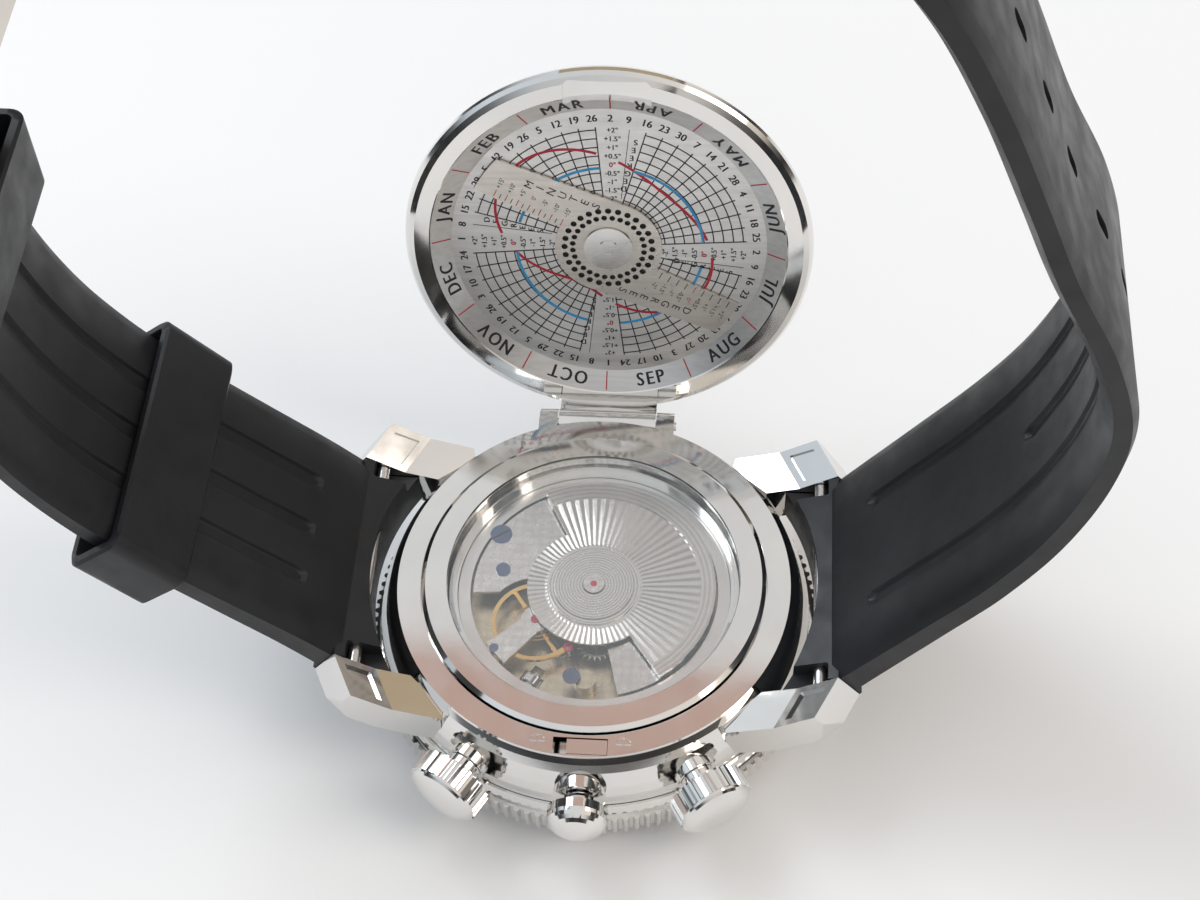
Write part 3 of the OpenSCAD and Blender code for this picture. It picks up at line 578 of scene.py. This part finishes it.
def print_labels(black, red):
    """The four columns of degrees, each with its line and its stacked word."""
    # How far the labels of each column stand beside its axis, and how they are turned.
    sideways_and_turn = ((0.45, 0), (0.1, 90), (0.1, 180), (-0.6, 90))
    for axis, (offset, turn) in zip(AXES, sideways_and_turn):
        upright = axis in (90, -90)
        for k, label in enumerate(LABELS):
            x, y = polar(SCALE_R + SCALE_STEP * (4 - k), axis)
            place = (x + offset, y) if upright else (x, y + offset)
            ink = red if k == 4 else black
            ink.letters(label, *place, LABEL_H, turn, bold=True)
        turned = Matrix.Rotation(math.radians(axis - 90), 2)
        black.stroke([tuple(turned @ Vector(p)) for p in COLUMN_LINE], LABEL_LINE)
        outward = axis in (180, -90)
        for i, letter in enumerate("DEGREES"):
            r = WORD_R_OUT - WORD_STEP * i if outward else WORD_R_IN + WORD_STEP * i
            place = polar(r, axis + WORD_TURN)
            turn = axis - 90 + (0 if outward else 180)
            black.letters(letter, *place, WORD_H, turn, bold=True)


def print_calendar(black, red):
    """Month names and marks on the slope, and the date of each week inside them."""
    january_angle = 165
    for i, month in enumerate(MONTHS):
        outward = month in MONTHS[:3] + MONTHS[9:]
        black.word_on_arc(month, MONTH_R, january_angle - MONTH_TURN * i, MONTH_H, outward)
        radial(red, MONTH_MARK_R, TOP_ANGLE - MONTH_TURN * i, MARK_LINE)
    first = datetime.date(2023, 1, 1)
    for week in range(52):
        date = first + datetime.timedelta(weeks=week)
        angle = year_angle(1 + 7 * week)
        black.letters(str(date.day), *polar(DATE_R, angle), DATE_H, angle - 90, bold=True)


def print_cover():
    """The cover's print, and a black ring of painted shade under the rule's hub that darkens its holes. Each
    colour is thicker than the last and shows where they cross.
    """
    black = Ink(lift=cone_lift)
    red = Ink(INK_T * 1.6, cone_lift)
    blue = Ink(INK_T * 2.2, cone_lift)
    print_grid(black)
    print_labels(black, red)
    print_calendar(black, red)
    # Painted shade: a black ring under the rule's hub, so that its holes look shadowed.
    black.arc(HUB_SHADE_R, 0, 360, HUB_SHADE_WIDTH)
    for points in curve_runs(time_radius, lambda angle: not near_label(angle)):
        red.stroke(points, CURVE_LINE)
    for points in curve_runs(tilt_radius, in_quadrant):
        blue.stroke(points, CURVE_LINE)
    place = face_frame(DISC_Z)
    black.piece("print_black", BLACK_INK, "cover", "satin_silver", place)
    red.piece("print_red", RED_INK, "cover", "satin_silver", place)
    blue.piece("print_blue", BLUE_INK, "cover", "satin_silver", place)


# The rule's two arms: minutes on one, degrees on the other.
ARM_ANGLES = (154, -26)
MINUTES_START, MINUTES_STEP = 13.25, 1.265
DEGREES_START, DEGREES_STEP = 14.35, 0.994
# Each arm's word: how far along it starts, how far in from the edge, and how it leans.
MINUTES_WORD = (10.6, 3.2, 0.15)
DEGREES_WORD = (10.9, 3.35, 0.13)
ARM_WORD_STEP = 1.2
# Dashes, labels and letters of the arms, measured in from the edge where it says in.
LONG_DASH, SHORT_DASH, ARM_DASH_LINE = 0.8, 0.55, 0.09
MINUTES_DASH_IN, SHORT_DASH_IN, DEGREES_DASH_IN = 0.62, 0.5, 0.55
MINUTES_LABEL_IN, DEGREES_LABEL_IN = 1.95, 2.0
ARM_LABEL_H, ARM_WORD_H = 0.5, 0.85


class ArmPrint:
    """Places marks by distance along an arm of the rule and in from its edge."""

    def __init__(self, angle):
        self.angle = angle
        self.along = Vector(polar(1, angle))
        self.across = Vector(polar(1, angle - 90))

    def at(self, s, d):
        """The point s along the arm and d in from its edge."""
        return tuple(self.along * s + self.across * d)

    def dash(self, ink, s, d, length):
        """A dash across the arm, centred on a point."""
        ink.stroke([self.at(s, d - length / 2), self.at(s, d + length / 2)], ARM_DASH_LINE)

    def text(self, ink, text, s, d, height):
        """Text centred on a point of the arm."""
        ink.letters(text, *self.at(s, d), height, self.angle - 90)

    def word(self, ink, word, start, edge, lean):
        """Stacks a word's letters inward along the arm."""
        for k, letter in enumerate(word):
            self.text(ink, letter, start - ARM_WORD_STEP * k, edge + lean * k, ARM_WORD_H)


def print_rule():
    """Dashes, labels and stacked words on both arms of the rule."""
    black, red = Ink(), Ink()
    minutes, degrees = (ArmPrint(angle) for angle in ARM_ANGLES)
    half_step = 0.63
    for value in range(15, -20, -5):
        s = MINUTES_START - MINUTES_STEP * (15 - value) / 5
        minutes.dash(red, s, MINUTES_DASH_IN, LONG_DASH)
        if value > -15:
            minutes.dash(black, s - half_step, SHORT_DASH_IN, SHORT_DASH)
        label = f"{value:+d}'" if value else "0'"
        minutes.text(black if value else red, label, s, MINUTES_LABEL_IN, ARM_LABEL_H)
    for k, label in enumerate(LABELS):
        s = DEGREES_START - DEGREES_STEP * k
        ink = red if k == 4 else black
        degrees.dash(ink, s, DEGREES_DASH_IN, LONG_DASH)
        degrees.text(ink, label, s, DEGREES_LABEL_IN, ARM_LABEL_H)
    minutes.word(black, "MINUTES", *MINUTES_WORD)
    degrees.word(black, "DEGREES", *DEGREES_WORD)
    place = face_frame(RULE_Z)
    black.piece("rule_print_black", BLACK_INK, "rule", "rule_finish", place)
    red.piece("rule_print_red", RED_INK, "rule", "rule_finish", place)


# ---- movement -------------------------------------------------------------

# Where the rotor's wide part starts and ends.
SECTOR_START, SECTOR_END = -54.5, 117.5
ROTOR_LOW, ROTOR_TOP = 10.75, 11.0
# Rings of the plate. The flutes start at the third, and only the wide part has the last.
ROTOR_RADII = (3.4, 4.9, 5.2, 6.95, 11.1)
FLUTE_DEPTH = 0.06
FULL_FLUTE_R = 9
# Ridges and flutes, counted together, in the wide part and in the rest of the turn.
SECTOR_COUNT, REST_COUNT = 68, 74

# Visible screws of the movement: place, radius of the head and turn of the slot.
SCREWS = (
    (-10.3, 6.4, 1.15, 35), (-3.8, 10.4, 0.62, 80), (8.6, -7.6, 0.62, 10),
    (10.6, 3.2, 0.62, 120),
)
SCREW_TOP = 10.25
# Width of the black strokes painted as shade for the screw slots.
SLOT_SHADE_WIDTH = 0.24


def fluted_top(work):
    """Adds the plate's top: faces between columns of points on the rings."""
    wide, rest = SECTOR_END - SECTOR_START, 360 - SECTOR_END + SECTOR_START
    angles = [SECTOR_START + wide * i / SECTOR_COUNT for i in range(SECTOR_COUNT)]
    angles += [SECTOR_END + rest * i / REST_COUNT for i in range(REST_COUNT)]
    columns = []
    for i, angle in enumerate(angles):
        column = []
        for k, r in enumerate(ROTOR_RADII):
            fluted = k > 1 and i % 2
            z = ROTOR_TOP - (FLUTE_DEPTH if fluted else 0) * min(1, r / FULL_FLUTE_R)
            column.append(work.verts.new((*polar(r, angle), z)))
        columns.append(column)
    for i, column in enumerate(columns):
        after = columns[(i + 1) % len(columns)]
        rings = len(ROTOR_RADII) - (1 if i < SECTOR_COUNT else 2)
        for k in range(rings):
            work.faces.new((column[k], column[k + 1], after[k + 1], after[k]))


def fluted_rotor():
    """The rotor's plate: a sunburst of shallow flutes round a plain middle."""
    work = bmesh.new()
    fluted_top(work)
    loose = [v for v in work.verts if not v.link_faces]
    bmesh.ops.delete(work, geom=loose, context="VERTS")
    tops = list(work.faces)
    made = bmesh.ops.extrude_face_region(work, geom=tops, use_keep_orig=True)
    for item in made["geom"]:
        if isinstance(item, bmesh.types.BMVert):
            item.co.z = ROTOR_LOW
    work.verts.index_update()
    verts = [tuple(v.co) for v in work.verts]
    faces = [tuple(v.index for v in face.verts) for face in work.faces]
    work.free()
    replaced = ("rotor_plate",)
    piece("rotor_sunburst", verts, faces, ROTOR_SHINE, "rotor", replaced)


def screw_slots():
    """Black ink across the heads of the visible screws: painted shade in place of their recessed slots."""
    ink = Ink()
    for x, y, r, angle in SCREWS:
        dx, dy = polar(r * 0.92, angle)
        ink.stroke([(x - dx, y - dy), (x + dx, y + dy)], SLOT_SHADE_WIDTH)
    place = Matrix.Translation((0, 0, SCREW_TOP))
    ink.piece("screw_slots", BLACK_INK, "case", "blued_steel", place)


# ---- dial side ------------------------------------------------------------

DIAL_Z = 6.45
TRACK_R = 15.2
MINUTE_R, MINUTE_LINE = 14.75, 0.1
HOUR_R, HOUR_LINE = 14.65, 0.2
NUMERALS = ("12", "3", "6", "9")
NUMERAL_R, NUMERAL_H = 10.4, 1.7


def print_dial():
    """Minute track and quarter numerals on the dial, which faces down (-Z), 12 at -X."""
    ink = Ink()
    for i in range(60):
        inner, width = (MINUTE_R, MINUTE_LINE) if i % 5 else (HOUR_R, HOUR_LINE)
        radial(ink, (inner, TRACK_R), i * 6, width)
    for i, numeral in enumerate(NUMERALS):
        ink.letters(numeral, *polar(NUMERAL_R, 90 - 90 * i), NUMERAL_H, bold=True)
    toward_12 = Matrix(((0, -1, 0, 0), (-1, 0, 0, 0), (0, 0, -1, DIAL_Z), (0, 0, 0, 1)))
    ink.piece("dial_print", BLACK_INK, "case", "white_dial", toward_12)


# ---- strap ----------------------------------------------------------------

STRAP_W = 23.8
# Thickness at the lug, and from the middle of a half to its end.
ROOT_T, TIP_T = 3.9, 2.8
# Places along a half are counted in slices, this many between two points of its route.
PER_SPAN = 5
# Sections swept between two points of the route.
SWEEP_STEPS = 16
# Outer faces, from the lug to the far end, as distance from the centre and height.
ROUTE_6 = (
    (27.3, 12.6), (30.2, 17.1), (34.6, 23.8), (39.6, 31.6), (43.6, 39.9), (46.1, 49),
    (46.4, 57), (43.8, 65.5), (39.4, 74.3), (35.8, 82.8), (32, 91.5), (27.4, 100),
    (21.2, 107.5), (14, 112.5),
)
ROUTE_12 = (
    (27.3, 12.6), (30.8, 16.8), (36.2, 22.6), (42.4, 29.4), (47.6, 36.2), (51.8, 44),
    (54.4, 52.5), (55.1, 61.5), (53.6, 70.5), (49.6, 78.6),
)
# Half width of the long half, by height above the table.
TAPER = ((0, STRAP_W / 2), (30, STRAP_W / 2), (75, 11.0), (115, 10.4))
# The knuckle round the buckle's pin, and the bores for both pins.
KNUCKLE_R = 1.6
PIN_HOLE_R = 0.8


def spline(p, t):
    """A point of the smooth curve through the route, t in spans."""
    i = min(int(t), len(p) - 2)
    t -= i
    p0, p1, p2, p3 = (Vector(p[min(max(i + k, 0), len(p) - 1)]) for k in (-1, 0, 1, 2))
    return 0.5 * (2 * p1 + (p2 - p0) * t + (2 * p0 - 5 * p1 + 4 * p2 - p3) * t * t
                  + (3 * p1 - p0 - 3 * p2 + p3) * t * t * t)


def interpolate(table, x):
    """Reads a value from pairs, on straight lines between them."""
    for (x0, y0), (x1, y1) in zip(table, table[1:]):
        if x <= x1:
            return y0 + (y1 - y0) * (x - x0) / (x1 - x0)
    return table[-1][1]


class Band:
    """One half of the strap: stations along its outer face."""

    def __init__(self, route, side, tapered):
        self.route, self.side, self.tapered = route, side, tapered
        self.spans = len(route) - 1
        self.stations = []
        steps = self.spans * SWEEP_STEPS
        s, last = 0.0, None
        for i in range(steps + 1):
            t = self.spans * i / steps
            point = spline(route, t)
            if last is not None:
                s += (point - last).length
            last = point
            ahead = spline(route, min(t + 0.02, self.spans))
            behind = spline(route, max(t - 0.02, 0))
            d = (ahead - behind).normalized()
            self.stations.append((s, t, point, d))

    def thickness(self, t):
        """Thickness at t spans from the lug."""
        share = t * PER_SPAN / (self.spans * PER_SPAN + 1)
        return ROOT_T + (TIP_T - ROOT_T) * min(1, 2 * share)

    def half_width(self, point):
        """Half the width at a point of the route."""
        return interpolate(TAPER, point.y) if self.tapered else STRAP_W / 2

    def world(self, point, d, y, h):
        """A point of the section: y across the strap, h in from the outer face."""
        return self.side * (point.x - d.y * h), y, point.y + d.x * h

    def frame_at(self, t):
        """Frame on the outer face: x along the strap, z towards the wrist."""
        point = spline(self.route, t)
        d = (spline(self.route, t + 0.02) - spline(self.route, t - 0.02)).normalized()
        x = Vector((self.side * d.x, 0, d.y))
        z = Vector((-self.side * d.y, 0, d.x))
        y = z.cross(x)
        place = Matrix((x, y, z)).transposed().to_4x4()
        place.translation = (self.side * point.x, 0, point.y)
        return place


class Groove:
    """A groove with rounded ends in the inner face: its middle, start and end.

    All share a half width, a depth and the width of their sloping walls.
    """

    half, depth, slope = 0.85, 0.4, 0.22

    def __init__(self, y, start, end):
        self.y, self.start, self.end = y, start, end

    def cut_at(self, y, s):
        """Depth of the groove at a point of the face."""
        nearest = min(max(s, self.start + self.half), self.end - self.half)
        inside = self.half - math.hypot(y - self.y, s - nearest)
        return self.depth * min(1.0, max(0.0, inside / self.slope))


def section(half, t, depth_at):
    """Outline of the strap: inner face from -y to +y, then back along the outer face."""
    edge, drop = 1.5, 0.75
    outer_edge, outer_drop = 1.3, 0.6
    inner = [(y, t - depth_at(y)) for y in section_ys(half - edge)]
    ring = [(-half, t - drop)] + inner + [(half, t - drop), (half, outer_drop)]
    ring += [(half - outer_edge, 0.0), (0.0, 0.0), (-half + outer_edge, 0.0)]
    return ring + [(-half, outer_drop)]


GROOVE_LINES = (-5.7, 0.0, 5.7)


def section_ys(limit):
    """Points across the inner face, close together at the grooves."""
    ys = [-limit, limit]
    for middle in GROOVE_LINES:
        ys += [middle + Groove.half * k / 5 for k in range(-7, 8)]
    return sorted(ys)


def band_piece(name, band, grooves, replaced, body):
    """Sweeps the section along the band, then closes the ends."""
    verts, faces = [], []
    for s, t, point, d in band.stations:
        ring = section(band.half_width(point), band.thickness(t),
                       lambda y: sum(groove.cut_at(y, s) for groove in grooves))
        n = len(ring)
        verts += [band.world(point, d, y, h) for y, h in ring]
    for j in range(len(band.stations) - 1):
        for i in range(n):
            a, b = j * n + i, j * n + (i + 1) % n
            faces.append((a, b, b + n, a + n))
    last = (len(band.stations) - 1) * n
    faces += [tuple(range(n))[::-1], tuple(range(last, last + n))]
    return piece(name, verts, faces, FINISHES["rubber"], body, (replaced,))


# The fitted end, seen from the side, as distance from the centre and height.
END_PROFILE = ((17.4, 8.2), (25.4, 8.6), (27.45, 12.5), (24.95, 15.35), (17.4, 12.55))
# The bar it turns on, and the radius of the hollow that clears the case.
BAR_X, BAR_Z = 23.3, 13.2
CASE_HOLLOW_R = 22.95
# Room for the lugs at both sides: its middle, and how far in from the strap's edge that is.
LUG_X, LUG_Z, LUG_IN = 20.0, 12.2, 0.9


def strap_end(side):
    """The fitted end between the lugs, hollowed to follow the case."""
    upright = Matrix(((side, 0, 0, 0), (0, 0, 1, 0), (0, 1, 0, 0), (0, 0, 0, 1)))
    block = prism(END_PROFILE, -STRAP_W / 2, STRAP_W / 2, upright)
    tools = [prism(round_outline(CASE_HOLLOW_R, 120), 0, 20, Matrix.Identity(4))]
    for s in (-1, 1):
        lug = Matrix.Translation((side * LUG_X, s * (STRAP_W / 2 - LUG_IN), LUG_Z))
        tools.append(prism(rounded_box(4.0, 1.0, 0.3, 2), 0, 6, lug))
    bar = along_y(side * BAR_X, BAR_Z)
    tools.append(prism(round_outline(PIN_HOLE_R, 24), -15, 15, bar))
    cut(block, tools)
    return block


def along_y(x, z):
    """Frame whose local z runs along the world's y, for pins across the strap."""
    return Matrix(((1, 0, 0, x), (0, 0, 1, 0), (0, 1, 0, z), (0, 0, 0, 1)))


# The buckle's holes: the first one's slice, the slices to the next, and their number.
FIRST_HOLE, HOLE_PITCH, HOLE_COUNT = 33, 4, 7
HOLE_HALF_LENGTH, HOLE_HALF_WIDTH = 1.5, 0.8


def hole_cutters(band):
    """Long oval holes for the buckle's tongue."""
    oval = rounded_box(HOLE_HALF_LENGTH, HOLE_HALF_WIDTH, HOLE_HALF_WIDTH - 0.01, 6)
    slices = [FIRST_HOLE + HOLE_PITCH * k for k in range(HOLE_COUNT)]
    return [prism(oval, -2, 8, band.frame_at(i / PER_SPAN)) for i in slices]


def long_strap(band):
    """The half at 6, with its end piece and holes. The middle groove starts further on."""
    grooves = [Groove(y, 6.5, 60) for y in (GROOVE_LINES[0], GROOVE_LINES[2])]
    grooves.append(Groove(0, 31, 60))
    half = band_piece("strap_long", band, grooves, "strap_6", "strap_6")
    cut(half, [strap_end(1)], "UNION")
    cut(half, hole_cutters(band))
    smooth(half, 32)


def short_strap(band):
    """The half at 12, with its end piece and a slotted knuckle round the buckle's pin."""
    grooves = [Groove(y, 5.5, 72) for y in GROOVE_LINES]
    half = band_piece("strap_short", band, grooves, "strap_12", "strap_12")
    place = buckle_frame(band)
    knuckle = prism(round_outline(KNUCKLE_R, 30), -STRAP_W / 2, STRAP_W / 2, place)
    cut(half, [strap_end(-1), knuckle], "UNION")
    bore = prism(round_outline(PIN_HOLE_R, 24), -20, 20, place)
    tongue_slot = prism(((-6, -3), (6, -3), (6, 5), (-6, 5)), -1.6, 1.6, place)
    cut(half, [bore, tongue_slot])
    smooth(half, 32)


def strap_pieces():
    """Both halves and the two keepers on the short one."""
    long_strap(Band(ROUTE_6, 1, tapered=True))
    short_band = Band(ROUTE_12, -1, tapered=False)
    short_strap(short_band)
    keeper_piece("keeper_free", short_band, 15.5, 1.6, 0.45, "free_keeper", "free_keeper")
    keeper_piece("keeper_fixed", short_band, 34.5, -0.3, 1.9, "fixed_keeper", "strap_12")


def buckle_frame(band):
    """Frame on the buckle's pin: local z runs along the pin."""
    _, _, point, d = band.stations[-1]
    at = Vector(band.world(point + 1.1 * d, d, 0, 1.4))
    return along_y(at.x, at.z)


KEEPER_LEN, KEEPER_WALL, KEEPER_SIDE = 8.5, 1.1, 0.45
KEEPER_EDGE = 0.28
OUTER_CORNER, INNER_CORNER = 1.5, 0.6


def keeper_rings(half_y, half_z):
    """Rings of points round a keeper: along its outside, then back along its inside."""
    end, flat = KEEPER_LEN / 2, KEEPER_LEN / 2 - KEEPER_EDGE
    places = ((-end, KEEPER_EDGE), (-flat, 0), (flat, 0), (end, KEEPER_EDGE))
    wide, high = half_y + KEEPER_WALL, half_z + KEEPER_WALL
    outer = rounded_box(wide, high, OUTER_CORNER, 6)
    inner = rounded_box(half_y, half_z, INNER_CORNER, 6)
    rings = []
    for x, inset in places:
        shrink_y, shrink_z = 1 - inset / wide, 1 - inset / high
        rings.append([(y * shrink_y, z * shrink_z, x) for y, z in outer])
    for x, inset in reversed(places):
        grow_y, grow_z = 1 + inset / 2 / half_y, 1 + inset / 2 / half_z
        rings.append([(y * grow_y, z * grow_z, x) for y, z in inner])
    return rings


def keeper_piece(name, band, index, under, over, replaced, body):
    """A rubber loop round the strap, with a gap under and over it, at a slice."""
    t = band.thickness(index / PER_SPAN)
    rings = keeper_rings(STRAP_W / 2 + KEEPER_SIDE, (t + under + over) / 2)
    verts = [point for ring in rings for point in ring]
    n = len(rings[0])
    faces = []
    for j in range(len(rings)):
        after = (j + 1) % len(rings)
        for i in range(n):
            k = (i + 1) % n
            faces.append((j * n + i, j * n + k, after * n + k, after * n + i))
    middle = (t + over - under) / 2
    along = Matrix(((0, 0, 1, 0), (1, 0, 0, 0), (0, 1, 0, middle), (0, 0, 0, 1)))
    place = band.frame_at(index / PER_SPAN) @ along
    rubber = FINISHES["rubber"]
    smooth(piece(name, verts, faces, rubber, body, (replaced,), place), 40)


# ---- stage ----------------------------------------------------------------

# Lights and cards face the middle of the watch.
AIM = Vector((0, 0, 0.02))
# Name, place, size, power and colour.
LIGHTS = (
    ("window", (-0.5, 0.35, 0.7), 0.5, 3.4, (0.9, 0.95, 1.0)),
    ("lamp", (0.55, -0.1, 0.6), 0.4, 1.7, (1.0, 0.92, 0.84)),
)
# Name, place, width, height and shade.
CARDS = (
    ("wall_dark", (0.02, 0.5, 0.34), 0.5, 0.1, (0.1, 0.075, 0.05)),
    ("wall_gold", (0.0, 0.5, 0.46), 0.5, 0.1, (0.62, 0.5, 0.34)),
    ("wall_rose", (0.02, 0.33, 0.7), 0.5, 0.08, (0.74, 0.52, 0.45)),
    ("dark_left", (-0.5, -0.2, 0.3), 0.16, 0.2, (0.05, 0.05, 0.055)),
    ("dark_right", (0.5, -0.25, 0.26), 0.16, 0.16, (0.05, 0.045, 0.04)),
    ("dark_front", (0.0, -0.55, 0.3), 0.3, 0.08, (0.06, 0.055, 0.05)),
)
ROOM_LIGHT = 0.9
COOL_LEFT, WARM_RIGHT = (0.8, 0.9, 1.0, 1), (1.0, 0.9, 0.8, 1)
# Brightness of the room from straight down, 0, to straight up, 1.
ROOM_RAMP = ((0.0, 0.2), (0.13, 0.04), (0.27, 0.2), (0.4, 0.75), (0.56, 1.0), (1.0, 0.95))

# The camera's place in metres, its angles in radians and its lens in millimetres.
EYE = (0.012886, -0.111020, 0.19152)
YAW, ELEVATION, ROLL = 0.1043, 0.9502, -0.0446
LENS, SENSOR = 61.27, 36


def floor():
    """Pale table top, with a very slow change of shade."""
    size, gap = 4, 0.0001
    shader = Shader("table_top", (0.86, 0.86, 0.87), 0.0, 0.55)
    shader.colour(shader.noise(3, 2), (0.84, 0.845, 0.855), (0.875, 0.87, 0.865))
    bpy.ops.mesh.primitive_grid_add(
        x_subdivisions=8, y_subdivisions=8, size=size, location=(0, 0, -gap))
    top = bpy.context.object
    top.name = "table"
    top.data.materials.append(shader.material)


def card(name, place, width, height, shade):
    """A plain card that only shows as a reflection in the polished steel."""
    shader = Shader(name, shade, 0.0, 0.9)
    bpy.ops.mesh.primitive_plane_add(size=1)
    thing = bpy.context.object
    thing.name = name
    thing.scale = (width, height, 1)
    thing.location = place
    thing.rotation_euler = (AIM - Vector(place)).to_track_quat("Z", "Y").to_euler()
    thing.data.materials.append(shader.material)
    thing.visible_camera = False
    thing.visible_shadow = False
    thing.visible_diffuse = False


def softbox(name, place, size, power, colour):
    """A square area light."""
    light = bpy.data.lights.new(name, "AREA")
    light.size = size
    light.energy = power
    light.color = colour
    thing = bpy.data.objects.new(name, light)
    thing.location = place
    thing.rotation_euler = (AIM - Vector(place)).to_track_quat("-Z", "Y").to_euler()
    scene.collection.objects.link(thing)


def surroundings():
    """A bright room: cool to the left, warm to the right, darker near the horizon."""
    world = bpy.data.worlds.new("room")
    scene.world = world
    world.use_nodes = True
    nodes, links = world.node_tree.nodes, world.node_tree.links
    background = nodes["Background"]
    where = nodes.new("ShaderNodeTexCoord").outputs["Generated"]
    split = nodes.new("ShaderNodeSeparateXYZ")
    links.new(where, split.inputs["Vector"])
    sideways = nodes.new("ShaderNodeValToRGB")
    sideways.color_ramp.elements[0].color = COOL_LEFT
    sideways.color_ramp.elements[1].color = WARM_RIGHT
    shift = nodes.new("ShaderNodeMapRange")
    shift.inputs["From Min"].default_value = -1
    links.new(split.outputs["X"], shift.inputs["Value"])
    links.new(shift.outputs["Result"], sideways.inputs["Fac"])
    height = nodes.new("ShaderNodeValToRGB")
    ramp = height.color_ramp.elements
    for position, _ in ROOM_RAMP[1:-1]:
        ramp.new(position)
    for element, (_, value) in zip(ramp, ROOM_RAMP):
        element.color = (value, value, value, 1)
    links.new(split.outputs["Z"], height.inputs["Fac"])
    mix = nodes.new("ShaderNodeMix")
    mix.data_type, mix.blend_type = "RGBA", "MULTIPLY"
    mix.inputs["Factor"].default_value = 1
    links.new(height.outputs["Color"], mix.inputs["A"])
    links.new(sideways.outputs["Color"], mix.inputs["B"])
    links.new(mix.outputs["Result"], background.inputs["Color"])
    background.inputs["Strength"].default_value = ROOM_LIGHT


def camera():
    """Looks down from the crown side, with a slight roll."""
    level = math.cos(ELEVATION)
    back = Vector((math.sin(YAW) * level, -math.cos(YAW) * level, math.sin(ELEVATION)))
    right = Vector((math.cos(YAW), math.sin(YAW), 0))
    up = back.cross(right)
    rolled_right = math.cos(ROLL) * right + math.sin(ROLL) * up
    rolled_up = -math.sin(ROLL) * right + math.cos(ROLL) * up
    eye = bpy.data.objects.new("camera", bpy.data.cameras.new("camera"))
    scene.collection.objects.link(eye)
    place = Matrix((rolled_right, rolled_up, back)).transposed().to_4x4()
    place.translation = EYE
    eye.matrix_world = place
    eye.data.lens = LENS
    eye.data.sensor_width = SENSOR
    eye.data.clip_start = 0.01
    scene.camera = eye


def stage():
    """Floor, room, lights, cards and camera."""
    floor()
    surroundings()
    for light in LIGHTS:
        softbox(*light)
    for row in CARDS:
        card(*row)
    camera()


dress_cad()
print_cover()
print_rule()
fluted_rotor()
screw_slots()
print_dial()
strap_pieces()
stage()
scene.view_settings.view_transform = "Standard"
